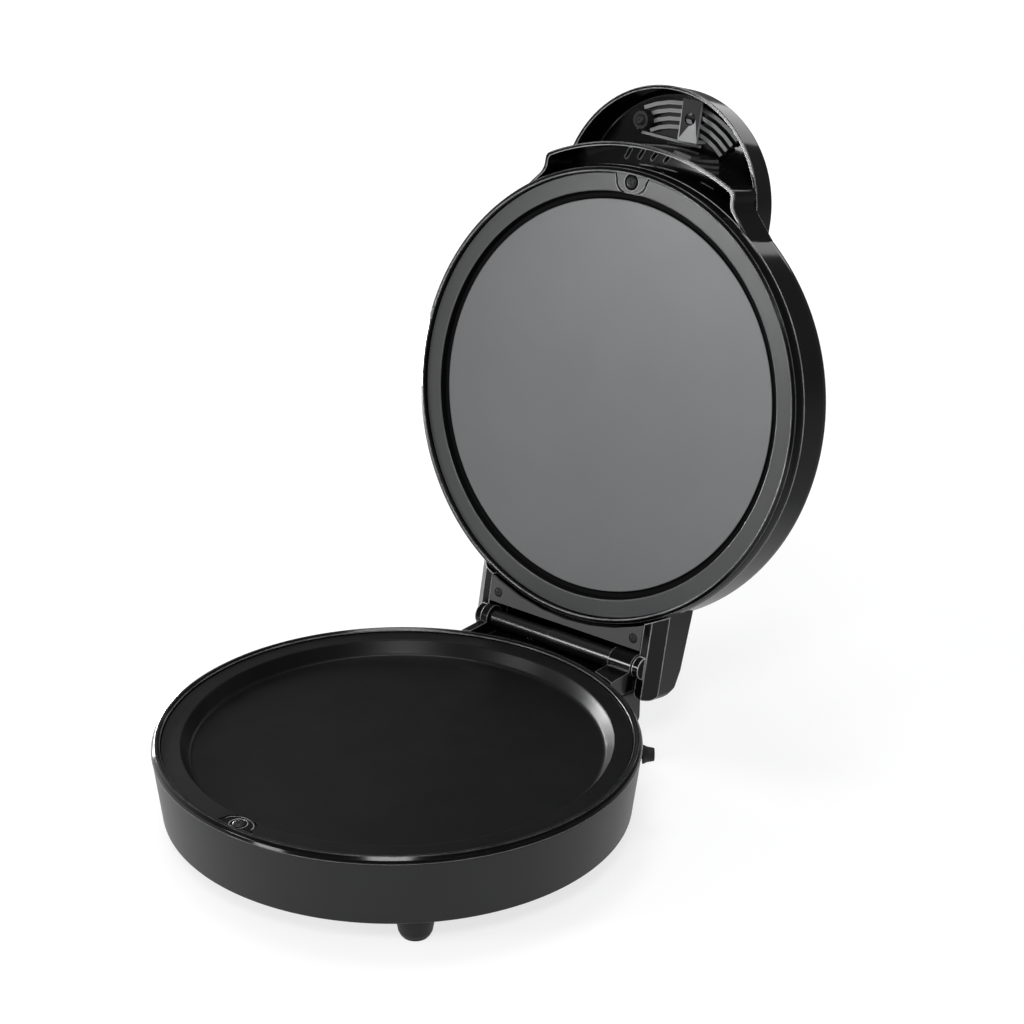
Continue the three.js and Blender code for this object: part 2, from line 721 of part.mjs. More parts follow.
function makeLowerPlate() {
  const wallFoot = panRadius - panWallRun;
  return castPlate([
    [0, panFloor], [wallFoot, panFloor], [wallFoot + 2 * edgeRound, panFloor + edgeRound],
    [panRadius - edgeRound, -landDrop - 2 * edgeRound], [panRadius, -landDrop],
    [flangeRadius - edgeRound, -landDrop], [flangeRadius, -landDrop - edgeRound], [flangeRadius, flangeUnder],
    [panRadius + ribThickness, flangeUnder], [wallFoot + plateThickness, panBack + edgeRound],
    [wallFoot + plateThickness / 2, panBack], [0, panBack],
  ], -landDrop, panBack, -1);
}

const coverScrewPlaces = coverScrewAngles.map((angle) => [...around(postCircle, angle), 0]);

const frontFootX = frontFootReach * Math.sin(frontFootAngle);
const frontFootY = -frontFootReach * Math.cos(frontFootAngle);
const footPlaces = {
  front_left: [-frontFootX, frontFootY, 0],
  front_right: [frontFootX, frontFootY, 0],
  rear_left: [-rearFootX, rearFootY, 0],
  rear_right: [rearFootX, rearFootY, 0],
};

function makeBottomCover() {
  const radius = wallFootRadius - wall - 2 * gap;
  const half = boxHalf - wall - gap;
  const corner = Math.asin(half / radius);
  const rear = boxRearFoot - wall - gap;
  const outline = new THREE.Shape();
  outline.absarc(0, 0, radius, Math.PI / 2 + corner, 5 * Math.PI / 2 - corner, false);
  outline.lineTo(half, rear);
  outline.lineTo(-half, rear);
  const sheet = new THREE.ExtrudeGeometry(outline, {
    depth: coverThickness, bevelEnabled: false, curveSegments: hiddenRingSides,
  });
  const through = [coverFoot - overrun, coverTop + overrun];
  const screwHole = rod(screwRadius + gap, ...through);
  const footHole = rod(footSpigotRadius + gap, ...through);
  const vent = box(
    [-coverVentLength / 2, coverVentLength / 2], [-coverVentWidth / 2, coverVentWidth / 2], through);
  const vents = evenly(coverVentCount).map((angle) => placed(
    vent, [...around(coverVentCircle, angle), 0], [0, 0, angle]));
  const seat = box(
    [-terminalLength / 2, terminalLength / 2], [terminalAt - terminalWidth / 2, terminalAt + terminalWidth / 2],
    [coverFoot, coverTop + terminalSeat]);
  return join(cut(
    solid(sheet.translate(0, 0, coverFoot)), ...coverScrewPlaces.map((place) => placed(screwHole, place)),
    ...Object.values(footPlaces).map((place) => placed(footHole, place)), ...vents), seat);
}

function makeFoot() {
  return turned([
    [0, coverTop], [footSpigotRadius, coverTop], [footSpigotRadius, footTop], [footTopRadius, footTop],
    [footTopRadius, footTop - footBevel / 2], [footEndRadius, footEnd + footBevel],
    [footEndRadius - footBevel / 2, footEnd], [padRadius + gap, footEnd], [padRadius + gap, padSeat],
    [0, padSeat],
  ], barrelSides);
}

const makeFootPad = () => rod(padRadius, -standHeight, padSeat - gap, barrelSides);

function makeTerminalBlock() {
  const seat = coverTop + terminalSeat + gap;
  const body = box(
    [-terminalLength / 2, terminalLength / 2], [terminalAt - terminalWidth / 2, terminalAt + terminalWidth / 2],
    [seat, seat + terminalHeight]);
  const bore = rod(terminalScrewRadius, seat + terminalHeight / 2, seat + terminalHeight + overrun);
  const bores = Array.from({ length: terminalPoles }, (_, i) => placed(
    bore, [(i - (terminalPoles - 1) / 2) * terminalPitch, terminalAt, 0]));
  return cut(body, ...bores);
}

// Thermal fuse with its two leads, lying under the lower shield
function makeThermalFuse() {
  const height = panBack - shieldBack - fuseRadius;
  const half = fuseLength / 2;
  const body = crossRod(fuseRadius, -half, half, fuseAt, height);
  return join(body, crossRod(leadRadius, -half - leadLength, half + leadLength, fuseAt, height));
}

// Cord gland, drawn along +X from its flange inside the wall to its tip
function makeCordGland() {
  const root = wallRadiusAt(glandDrop - glandRootRadius) + gap;
  const back = wallRadiusAt(glandDrop + glandFlangeRadius) - wall - 2 * gap;
  const profile = [
    [glandBore, back - glandFlange], [glandFlangeRadius, back - glandFlange], [glandFlangeRadius, back],
    [glandNeckRadius, back], [glandNeckRadius, root], [glandRootRadius, root],
    [glandWaistRadius, root + glandWaist], [glandTipRadius, root + glandLength - glandTipBevel],
    [glandTipRadius - glandTipBevel, root + glandLength], [glandBore, root + glandLength],
  ];
  const gland = solid(geometryOf(ring(profile, smallSides)).applyMatrix4(along.x));
  return placed(gland, [0, 0, -glandDrop], [0, 0, glandAngle]);
}

// Saddle that holds the pin: side views of an ear's block and of the floor between the ears
function makeHingeSaddle() {
  const rearHigh = openPoint(-stopFrom, stopDepth);
  const rearLow = openPoint(-stopTo, stopDepth);
  const foot = [[rearLow[0], -saddleRearDrop], [boxFront, -saddleFrontDrop]];
  const earBlock = [rearHigh, rearLow, ...foot, [boxFront, -saddleTop], [saddleLevelEnd, -saddleTop]];
  const share = (troughDrop + rearHigh[1]) / (rearHigh[1] - rearLow[1]);
  const rearFloor = rearHigh[0] + (rearLow[0] - rearHigh[0]) * share;
  const floor = [[rearFloor, -troughDrop], rearLow, ...foot, [boxFront, -troughDrop]];
  const spans = [[-boxHalf, leftEarWidth - boxHalf], [boxHalf - rightEarWidth, boxHalf]];
  const ears = spans.map(([from, to]) => join(
    slice(earBlock, from, to), crossRod(earRadius, from, to, hingeReach, 0, barrelSides)));
  const saddle = join(slice(floor, -boxHalf, boxHalf), ...ears);
  const bore = crossRod(pinBore, -boxHalf - overrun, boxHalf + overrun, hingeReach, 0);
  const front = rod(bodyRadius + gap, -2 * saddleRearDrop, 2 * earRadius, ringSides);
  return cut(saddle, bore, front);
}

function makeSleeve(from, to) {
  const tube = geometryOf(sleeve(pinBore, sleeveRadius, from, to, barrelSides)).applyMatrix4(along.x);
  return solid(tube.translate(0, hingeReach, 0));
}

// Lid pieces

function makeLidRim() {
  return rimWithTab([
    [lipInner, lidRimTop], [lipInner, lidLand - plateThickness], [lipInner + beadHeight, beadHeight],
    [lipRadius - 2 * beadHeight, lipHeight - beadHeight], [lipRadius, lipHeight],
    [(lipRadius + lidRadius) / 2, 2 * lipHeight], [lidRadius, lidFlangeBack], [lidRadius, lidRimTop],
  ], lidLand, 1);
}

function makeUpperPlate() {
  const grooveFloor = lidDisc + grooveDepth;
  const grooveInner = lidDiscRadius + grooveRun;
  return castPlate([
    [0, lidDisc], [lidDiscRadius, lidDisc], [grooveInner, grooveFloor], [panRadius - grooveRun, grooveFloor],
    [panRadius, lidLand], [flangeRadius - edgeRound, lidLand], [flangeRadius, lidLand + edgeRound],
    [flangeRadius, lidFlangeBack], [panRadius + ribThickness, lidFlangeBack],
    [panRadius - grooveRun + edgeRound, grooveFloor + plateThickness],
    [lidDiscRadius, grooveFloor + plateThickness],
    [lidDiscRadius - plateThickness, lidBack], [0, lidBack],
  ], lidLand, lidBack, 1);
}

// Height of the band's top at a distance towards the handle from the pan's centre
function bandTop(reach) {
  const share = THREE.MathUtils.smoothstep(reach, bandDipReach, bandLevelReach);
  return bandDip + (handleTop - bandDip) * share;
}

// Solid of the band and the half-round handle, from its dipped end to its tip. Inset draws its walls and its
// top in, and under is the height of its flat underside.
function bandSolid(inset, under) {
  const stations = [];
  for (let i = 0; i < bandSteps; i += 1) {
    const reach = bandDipReach + (handleCentre - bandDipReach) * (i / bandSteps);
    stations.push({ reach, angle: Math.PI / 2 });
  }
  for (let i = 0; i <= handleSteps; i += 1) {
    stations.push({ reach: handleCentre, angle: (Math.PI / 2) * (1 - i / (handleSteps + 1 / 2)) });
  }
  const softness = handleRound * (1 - Math.SQRT1_2);
  return loft(stations.map(({ reach, angle }) => {
    const level = (drawn, fall) => {
      const radius = bandHalf - inset - drawn;
      const forward = reach + radius * Math.cos(angle);
      return [radius * Math.sin(angle), -forward, fall === null ? under : bandTop(forward) - inset - fall];
    };
    const right = [
      level(0, null), level(handleDraft, handleRound), level(handleDraft + softness, softness),
      level(handleDraft + handleRound, 0),
    ];
    return [...right, ...[...right].reverse().map(([x, y, z]) => [-x, y, z])];
  }));
}

// Plan view of the shoulder; inset draws its wall in
function shoulderOutline(inset) {
  const half = shoulderHalf - inset;
  const radius = shoulderRadius - inset;
  const arcAngle = Math.asin((half - shoulderCorner) / radius);
  const corner = radius * Math.cos(Math.asin(half / radius));
  const flareX = half + shoulderFlare;
  const flareY = Math.sqrt(lidRadius * lidRadius - flareX * flareX);
  const root = flareY - 2 * shoulderFlare;
  const shape = new THREE.Shape();
  shape.moveTo(-flareX, -root);
  shape.lineTo(-flareX, -flareY);
  shape.lineTo(-half, -flareY - shoulderFlareRun);
  shape.lineTo(-half, shoulderCorner / 2 - corner);
  shape.quadraticCurveTo(-half, -corner, -radius * Math.sin(arcAngle), -radius * Math.cos(arcAngle));
  shape.absarc(0, 0, radius, -Math.PI / 2 - arcAngle, -Math.PI / 2 + arcAngle, false);
  shape.quadraticCurveTo(half, -corner, half, shoulderCorner / 2 - corner);
  shape.lineTo(half, -flareY - shoulderFlareRun);
  shape.lineTo(flareX, -flareY);
  shape.lineTo(flareX, -root);
  return shape;
}

const blockFront = Math.sqrt(lidRadius * lidRadius - bandHalf * bandHalf) - 2 * lidWall;

// Side view of the lid's hinge block, as [y, z]; inset draws in its top and its end
function blockOutline(inset, under, heel) {
  return [
    [blockFront, under], [blockFootReach - inset, under],
    [blockEnd - inset, heel], [blockEnd - inset, blockWidest],
    [blockCrestReach - inset, blockCrest - inset], [blockSlopeReach - inset / 2, blockSlope - inset],
    [blockFront, blockTop - inset],
  ];
}

// Plan view of a cheek with its rounded foot
function cheekOutline() {
  const shape = new THREE.Shape();
  shape.moveTo(cheekInner, blockFront);
  shape.lineTo(bandHalf, blockFront);
  shape.lineTo(bandHalf, cheekEnd - cheekRound);
  shape.quadraticCurveTo(bandHalf, cheekEnd, bandHalf - cheekRound, cheekEnd);
  shape.quadraticCurveTo(cheekInner, cheekEnd, cheekInner, cheekEnd - cheekRound);
  return shape;
}

// Cheek at +X beside the hinge box, with the lug that rides on the pin's end
function makeCheek() {
  const flangeEnd = cheekInner + cheekFlange;
  const front = frontSlice([
    [cheekInner, 0], [flangeEnd, 0], [bandHalf, blockUnder], [bandHalf, blockTop], [cheekInner, blockTop],
  ], blockFront, cheekEnd);
  const side = slice([
    [blockFront, 0], [cheekEnd, 0], [cheekEnd, blockOpening], [blockEnd, blockWidest],
    [blockCrestReach, blockCrest], [blockSlopeReach, blockSlope], [blockFront, blockTop],
  ], cheekInner, bandHalf);
  const plan = plate(cheekOutline(), 0, blockTop);
  const pocket = box(
    [cheekInner - overrun, bandHalf - lidWall], [lidRadius + lidWall, blockEnd - 2 * lidWall],
    [blockUnder + lidWall, blockCrest - 2 * lidWall]);
  const lug = join(
    crossRod(lugRadius, cheekInner, cheekInner + lugWidth, hingeReach, 0, barrelSides),
    box(
      [cheekInner, cheekInner + lugWidth], [hingeReach - lugRadius, hingeReach + lugRadius],
      [0, blockUnder + 2 * lidWall]));
  const bore = crossRod(pinBore, cheekInner - overrun, pinHalf + gap, hingeReach, 0);
  return cut(join(cut(front.intersect(side).intersect(plan), pocket), lug), bore);
}

const mirroredX = (body) => body.mirror([1, 0, 0]);

function makeLidShell() {
  const rise = crownHeight - lidWallTop;
  const crown = crownShares.map(([across, up]) => [lidRadius * across, lidWallTop + rise * up]);
  const insideShare = (lidRadius - lidWall) / lidRadius;
  const everyOther = crown.filter((_, i) => i % 2 === 1);
  const inner = everyOther.map(([radius, height]) => [radius * insideShare, height - lidWall]);
  const innerWall = [
    [lidRadius - lidWall, lidRimSeat + ledgeThickness], [lidWallTopRadius - lidWall, lidWallTop - lidWall],
  ];
  const ledgeTop = lidFlangeBack + gap;
  const stepRadius = lipInner - gap;
  const drum = turned([
    [0, ledgeTop], [stepRadius, ledgeTop], [stepRadius, lidRimSeat], [lidRadius, lidRimSeat],
    [lidWallTopRadius, lidWallTop], ...crown,
  ]);
  const cavity = turned([
    [0, ledgeTop - overrun], [ledgeInner, ledgeTop - overrun], [ledgeInner, lidRimSeat],
    [stepRadius - ledgeThickness, lidRimSeat + ledgeThickness], ...innerWall, ...inner,
  ], hiddenRingSides);
  const clearance = turned([
    [0, -2 * overrun], [lidRadius + gap, -2 * overrun], [lidRadius + gap, lidRimSeat],
    [lidRadius - lidWall / 2, lidRimSeat], [lidWallTopRadius - lidWall / 2, lidWallTop],
    [lidWallTopRadius - lidWall / 2, lidWallTop + rise / 3], [0, lidWallTop + rise / 3],
  ]);
  const recessTop = shoulderRecess;
  const spineUnder = recessTop + recessFloor;
  const shoulder = plate(shoulderOutline(0), lidRimSeat, handleUnder + lidWall / 2);
  const recess = cut(
    plate(shoulderOutline(handleWall), lidRimSeat - overrun, recessTop),
    rod(lidRadius, 0, lidWallTop, ringSides));
  const spine = bandSolid(handleWall, spineUnder).intersect(rod(recessRadius, 0, 2 * handleTop, ringSides));
  const handleHollow = cut(
    bandSolid(handleWall, handleUnder - overrun), rod(shoulderRadius, 0, 2 * handleTop, ringSides));
  const block = slice(blockOutline(0, blockUnder, blockHeel), -cheekInner, cheekInner);
  const blockHollow = join(
    slice(blockOutline(lidWall, blockUnder - overrun, blockHeel), -cheekInner, cheekInner),
    box([-cheekInner, cheekInner], [blockSlopeReach - 2 * cheekRound, blockEnd + overrun], [0, blockOpening]));
  const hollowBehind = cut(blockHollow, rod(lidRadius, 0, 2 * handleTop, ringSides));
  const cheek = makeCheek();
  const lampHole = rod(lampRadius + gap, handleTop - 2 * handleWall, handleTop + overrun);
  const outer = cut(join(bandSolid(0, handleUnder), shoulder, block, cheek, mirroredX(cheek)), clearance);
  const hollowed = cut(join(drum, outer), cavity, spine, recess, handleHollow, hollowBehind);
  const withInside = join(hollowed, ...makeStopRibs(), ...makeSkirtBosses(), makeLidTabBoss());
  return cut(
    withInside, ...makeVents(), ...lampPlaces.map((place) => placed(lampHole, place)),
    placed(rod(screwRadius + gap, ledgeTop - overrun, ledgeTop + tabScrewLength), atTab(0)),
    ...skirtScrewPlaces.map((place) => placed(
      rod(screwRadius + gap, skirtThickness, skirtThickness + skirtScrewLength), place)));
}

const lampPlaces = [[-lampX, -lampReach, 0], [lampX, -lampReach, 0]];
const skirtScrewPlaces = [[-skirtScrewX, skirtScrewReach, 0], [skirtScrewX, skirtScrewReach, 0]];

// Ribs inside the hinge block that meet the back of the saddle when the lid is fully open
function makeStopRibs() {
  const solidBlock = slice(blockOutline(0, 0, blockUnder), -cheekInner, cheekInner);
  return [-stopRibAt, stopRibAt].map((x) => {
    const span = [x - stopRibThickness / 2, x + stopRibThickness / 2];
    return solidBlock.intersect(join(
      box(span, [hingeReach + stopRibFrom, hingeReach + stopRibTo], [stopDepth + gap, blockTop]),
      box(span, [hingeReach + stopRibFrom, blockEnd], [blockOpening, blockTop])));
  });
}

const makeSkirtBosses = () => skirtScrewPlaces.map((place) => placed(
  rod(skirtBossRadius, skirtThickness + gap, blockSlope + lidWall / 2), place));

const makeLidTabBoss = () => placed(
  rod(postRadius, lidFlangeBack + gap, lidFlangeBack + gap + tabScrewLength + overrun), atTab(0));

// Slots through the floor of the shoulder's recess
function makeVents() {
  return Array.from({ length: ventCount }, (_, i) => {
    const angle = ((i - (ventCount - 1) / 2) * ventPitch - ventAside) / ventReach - Math.PI / 2;
    const slot = box(
      [-ventLength / 2, ventLength / 2], [-ventWidth / 2, ventWidth / 2],
      [shoulderRecess - overrun, shoulderRecess + recessFloor + overrun]);
    return placed(slot, [...around(ventReach, angle), 0], [0, 0, angle + ventSlant]);
  });
}

// Plate between the lid's rim and the hinge barrels, with a lip along its straight edge
function makeHingeSkirt() {
  const front = lidRadius / 2;
  const sheet = box([-boxHalf, boxHalf], [front, skirtEdge], [0, skirtThickness]);
  const lip = box([-boxHalf, boxHalf], [skirtEdge - skirtThickness, skirtEdge], [0, skirtLip]);
  const drum = rod(bodyRadius + gap, -overrun, 2 * skirtLip, ringSides);
  const hole = rod(screwRadius + gap, -overrun, skirtThickness + overrun);
  const sink = rod(skirtHeadRadius + gap, -overrun, skirtHeadHeight + gap);
  return cut(
    join(sheet, lip), drum, ...skirtScrewPlaces.map((place) => placed(hole, place)),
    ...skirtScrewPlaces.map((place) => placed(sink, place)));
}

// A point of the handle from its radius and its angle about the handle's centre; angles are from the front
const inHandle = (radius, angle) => [radius * Math.sin(angle), -handleCentre - radius * Math.cos(angle)];

const handleArc = (radius) => Array.from({ length: ribSteps + 1 }, (_, i) => inHandle(
  radius, ribFrom + (ribTo - ribFrom) * (i / ribSteps)));
const handleSector = (inner, outer) => [...handleArc(inner), ...handleArc(outer).reverse()];

const insertBack = handleTop - handleWall - gap;
const insertFace = insertBack - ribPlate;

// Ribbed sheet on the hollow handle's floor, with a hole behind the bracket's
function makeRibInsert() {
  const outer = ribFirst + (ribCount - 1) * ribPitch + ribWidth;
  const sheet = plate(handleSector(ribFirst - gap, outer + gap), insertFace, insertBack);
  const ribStarts = Array.from({ length: ribCount }, (_, i) => ribFirst + i * ribPitch);
  const ribs = ribStarts.map((start) => plate(
    handleSector(start, start + ribWidth), insertFace - ribLift, insertBack));
  const apron = plate(
    [[barFrom[0], -barFrom[1]], [barTo[0], -barTo[1]], ...handleArc(ribFirst).reverse()],
    insertFace, insertBack);
  const [dx, dy] = [barTo[0] - barFrom[0], barFrom[1] - barTo[1]];
  const barLength = Math.hypot(dx, dy);
  const bar = placed(
    box([0, barLength], [-barWidth / 2, barWidth / 2], [insertFace - ribLift, insertBack]),
    [barFrom[0], -barFrom[1], 0], [0, 0, Math.atan2(dy, dx)]);
  const boss = placed(
    rod(roundBossRadius + 2 * gap, insertFace - 2 * ribLift, insertBack + overrun, barrelSides),
    [bossX, -bossReach, 0]);
  const shoulder = rod(shoulderRadius + gap, insertFace - 2 * ribLift, insertBack + overrun, ringSides);
  const hole = placed(
    rod(bracketHole + gap, insertFace - 2 * ribLift, insertBack + overrun, barrelSides),
    [bracketX, -bracketReach, 0]);
  return cut(join(sheet, apron, ...ribs, bar), boss, shoulder, hole);
}

// Angled bracket in the handle's hollow, with a round hole in its face
function makeHandleBracket() {
  const near = -bracketNear;
  const across = [bracketX - bracketWidth / 2, bracketX + bracketWidth / 2];
  const face = box(across, [near - bracketLength, near], [bracketUnder, bracketUnder + bracketThickness]);
  const web = box(across, [near - bracketThickness, near], [bracketUnder, insertFace - gap]);
  const hole = placed(
    rod(bracketHole, bracketUnder - overrun, bracketUnder + bracketThickness + overrun, barrelSides),
    [bracketX, -bracketReach, 0]);
  return cut(join(face, web), hole);
}

// Round boss with a triangular gusset
function makeHandleBoss() {
  const boss = rod(roundBossRadius, bracketUnder + bracketThickness, insertBack, barrelSides);
  const gusset = placed(frontSlice([
    [0, bracketUnder + bracketThickness + ribLift], [0, insertBack], [-gussetLength, insertBack],
  ], -gussetThickness / 2, gussetThickness / 2), [0, 0, 0], [0, 0, -gussetAngle]);
  const bore = rod(screwRadius + gap, bracketUnder, bracketUnder + bracketThickness + tabScrewLength + overrun);
  return placed(cut(join(boss, gusset), bore), [bossX, -bossReach, 0]);
}

// Lamp with its flange on the band: zero is the band's top
function makeLamp() {
  return turned([
    [0, lampFlangeHeight + lampDome], [lampRadius / 2, lampFlangeHeight + lampDome],
    [lampRadius, lampFlangeHeight + lampDome / 2], [lampRadius, lampFlangeHeight],
    [lampFlange - gap, lampFlangeHeight], [lampFlange, lampFlangeHeight - gap], [lampFlange, gap],
    [lampRadius, gap], [lampRadius, -lampBody], [0, -lampBody],
  ], smallSides);
}

// Assembly

function part(group, name, body, finish) {
  const mesh = new THREE.Mesh(geometryOf(body), new THREE.MeshStandardMaterial({ ...finishes[finish], name }));
  mesh.geometry.computeVertexNormals();
  mesh.name = name;
  group.add(mesh);
}

const shieldScrew = plainScrew(screwHeadRadius, screwHeadHeight, screwDepth + shieldThickness);
const tabScrew = screw(tabHeadRadius, tabHeadHeight, tabScrewLength);
const coverScrew = plainScrew(screwHeadRadius, screwHeadHeight, coverScrewLength);
const skirtScrew = screw(skirtHeadRadius, skirtHeadHeight, skirtScrewLength);
const bossScrew = screw(handleScrewRadius, screwHeadHeight, tabScrewLength);
const bossFace = bracketUnder + bracketThickness;
const sleeveMeet = -sleeveSetoff;

function buildBase(base) {
  part(base, 'base_housing', makeBaseHousing(), 'satinGrey');
  part(base, 'base_rim', makeBaseRim(), 'glossBlack');
  part(base, 'lower_plate', makeLowerPlate(), 'nonStick');
  part(base, 'lower_plate_screw', placed(tabScrew, atTab(gap - landDrop - counterboreDepth)), 'steel');
  part(base, 'lower_heating_element', makeElement(panBack, -1), 'darkSteel');
  part(base, 'lower_heat_shield', makeShield(panBack, -1), 'steel');
  bossPlaces.forEach(([x, y], i) => {
    part(base, `lower_shield_screw_${i + 1}`, flipped(shieldScrew, [x, y, panBack - shieldBack]), 'steel');
  });
  part(base, 'lower_thermostat', makeThermostat(panBack, -1), 'ceramic');
  part(base, 'thermal_fuse', makeThermalFuse(), 'steel');
  part(base, 'terminal_block', makeTerminalBlock(), 'ceramic');
  part(base, 'bottom_cover', makeBottomCover(), 'matteBlack');
  coverScrewPlaces.forEach(([x, y], i) => {
    part(base, `bottom_screw_${i + 1}`, flipped(coverScrew, [x, y, coverFoot - gap]), 'steel');
  });
  Object.entries(footPlaces).forEach(([place, position]) => {
    part(base, `foot_${place}`, placed(makeFoot(), position), 'matteBlack');
    part(base, `foot_pad_${place}`, placed(makeFootPad(), position), 'rubber');
  });
  part(base, 'cord_gland', makeCordGland(), 'matteBlack');
  part(base, 'hinge_saddle', makeHingeSaddle(), 'matteBlack');
  part(base, 'hinge_pin', crossRod(pinRadius, -pinHalf, pinHalf, hingeReach, 0), 'steel');
  const rightSleeve = makeSleeve(sleeveMeet + gap / 2, boxHalf - rightEarWidth - gap);
  part(base, 'hinge_sleeve_right', rightSleeve, 'matteBlack');
}

function buildLid(lid) {
  part(lid, 'lid_shell', makeLidShell(), 'glossBlack');
  part(lid, 'lid_rim', makeLidRim(), 'glossBlack');
  part(lid, 'upper_plate', makeUpperPlate(), 'nonStick');
  part(lid, 'upper_plate_screw', flipped(tabScrew, atTab(lidLand + counterboreDepth - gap)), 'steel');
  part(lid, 'upper_heating_element', makeElement(lidBack, 1), 'darkSteel');
  part(lid, 'upper_heat_shield', makeShield(lidBack, 1), 'steel');
  bossPlaces.forEach(([x, y], i) => {
    part(lid, `upper_shield_screw_${i + 1}`, placed(shieldScrew, [x, y, lidBack + shieldBack]), 'steel');
  });
  part(lid, 'upper_thermostat', makeThermostat(lidBack, 1), 'ceramic');
  part(lid, 'hinge_skirt', makeHingeSkirt(), 'matteBlack');
  ['left', 'right'].forEach((side, i) => {
    const [x, y] = skirtScrewPlaces[i];
    part(lid, `hinge_skirt_screw_${side}`, flipped(skirtScrew, [x, y, skirtHeadHeight]), 'steel');
  });
  const leftSleeve = makeSleeve(leftEarWidth - boxHalf + gap, sleeveMeet - gap / 2);
  part(lid, 'hinge_sleeve_left', leftSleeve, 'matteBlack');
  part(lid, 'handle_rib_insert', makeRibInsert(), 'satinGrey');
  part(lid, 'handle_bracket', makeHandleBracket(), 'satinGrey');
  part(lid, 'handle_boss', makeHandleBoss(), 'satinGrey');
  part(lid, 'handle_boss_screw', flipped(bossScrew, [bossX, -bossReach, bossFace - gap]), 'steel');
  part(lid, 'power_lamp', placed(makeLamp(), [...lampPlaces[0].slice(0, 2), handleTop]), 'redLens');
  part(lid, 'ready_lamp', placed(makeLamp(), [...lampPlaces[1].slice(0, 2), handleTop]), 'greenLens');
}

const oven = new THREE.Group();
oven.name = 'round_electric_mini_oven';
const base = new THREE.Group();
base.name = 'base_group';
base.position.set(0, 0, standHeight);
buildBase(base);
const hinge = new THREE.Group();
hinge.name = 'hinge_group';
hinge.position.set(0, hingeReach, standHeight);
hinge.rotation.x = -openAngle;
const lid = new THREE.Group();
lid.name = 'lid_group';
lid.position.set(0, -hingeReach, 0);
buildLid(lid);
hinge.add(lid);
oven.add(base, hinge);

// The middle of the open appliance, seen from above, goes to the origin.
oven.updateMatrixWorld(true);
const bounds = new THREE.Box3().setFromObject(oven, true);
oven.position.set(0, -(bounds.min.y + bounds.max.y) / 2, -bounds.min.z);
oven.updateMatrixWorld(true);

export default oven;
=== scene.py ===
"""Looks of the round electric mini oven, in metres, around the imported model."""
import json
import math

import bmesh
import bpy
from mathutils import Matrix, Vector


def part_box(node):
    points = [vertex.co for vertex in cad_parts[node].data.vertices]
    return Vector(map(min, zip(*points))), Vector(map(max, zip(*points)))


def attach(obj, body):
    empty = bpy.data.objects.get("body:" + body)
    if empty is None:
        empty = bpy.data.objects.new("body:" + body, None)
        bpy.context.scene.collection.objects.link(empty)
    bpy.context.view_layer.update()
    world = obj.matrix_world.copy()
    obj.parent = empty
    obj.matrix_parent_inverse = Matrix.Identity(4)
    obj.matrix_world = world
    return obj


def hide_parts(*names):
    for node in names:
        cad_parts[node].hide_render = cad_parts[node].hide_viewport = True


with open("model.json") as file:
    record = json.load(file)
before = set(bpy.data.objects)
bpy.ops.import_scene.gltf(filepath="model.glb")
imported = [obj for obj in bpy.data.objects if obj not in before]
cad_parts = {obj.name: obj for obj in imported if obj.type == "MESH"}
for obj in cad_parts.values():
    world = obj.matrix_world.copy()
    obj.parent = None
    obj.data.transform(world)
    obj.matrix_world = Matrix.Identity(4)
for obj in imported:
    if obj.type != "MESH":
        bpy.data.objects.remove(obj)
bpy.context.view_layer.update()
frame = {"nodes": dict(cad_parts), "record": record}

# Camera at the photograph's viewing angle: 38 degrees right of the front and 23 degrees up

CAMERA_PLACE = (0.9948, -1.2259, 0.8784)
TOWARDS_CAMERA = (0.5678, -0.7249, 0.3901)
PICTURE_RIGHT = (0.7847, 0.6198, 0.0096)

camera_data = bpy.data.cameras.new("camera")
camera_data.sensor_width = 36
camera_data.lens = 86.70
camera_data.clip_end = 20
camera = bpy.data.objects.new("camera", camera_data)
bpy.context.scene.collection.objects.link(camera)
back = Vector(TOWARDS_CAMERA).normalized()
up = back.cross(Vector(PICTURE_RIGHT)).normalized()
side = up.cross(back)
camera.matrix_world = Matrix((
    (side.x, up.x, back.x, CAMERA_PLACE[0]),
    (side.y, up.y, back.y, CAMERA_PLACE[1]),
    (side.z, up.z, back.z, CAMERA_PLACE[2]),
    (0, 0, 0, 1),
))
bpy.context.scene.camera = camera

# Shader building. Lengths are in metres, and the noises' scales are per metre.

NODE_STEP = 200
BROAD_SCALE = 24.0
MOTTLE_SCALE = 18.0
EDGE_PATCH_SCALE = 60.0
DUST_SCALE = 35.0
SPARKLE_SHARE = 0.6         # of the roughness's spread that the fine grain carries
EDGE_MASK_REACH = 0.0012          # from an edge inwards
EDGE_MASK_SAMPLES = 6
DUST_COLOUR = (0.35, 0.34, 0.32, 1.0)
RUBBED_LIFT = 2.2           # how much lighter than its colour a surface is where it is rubbed


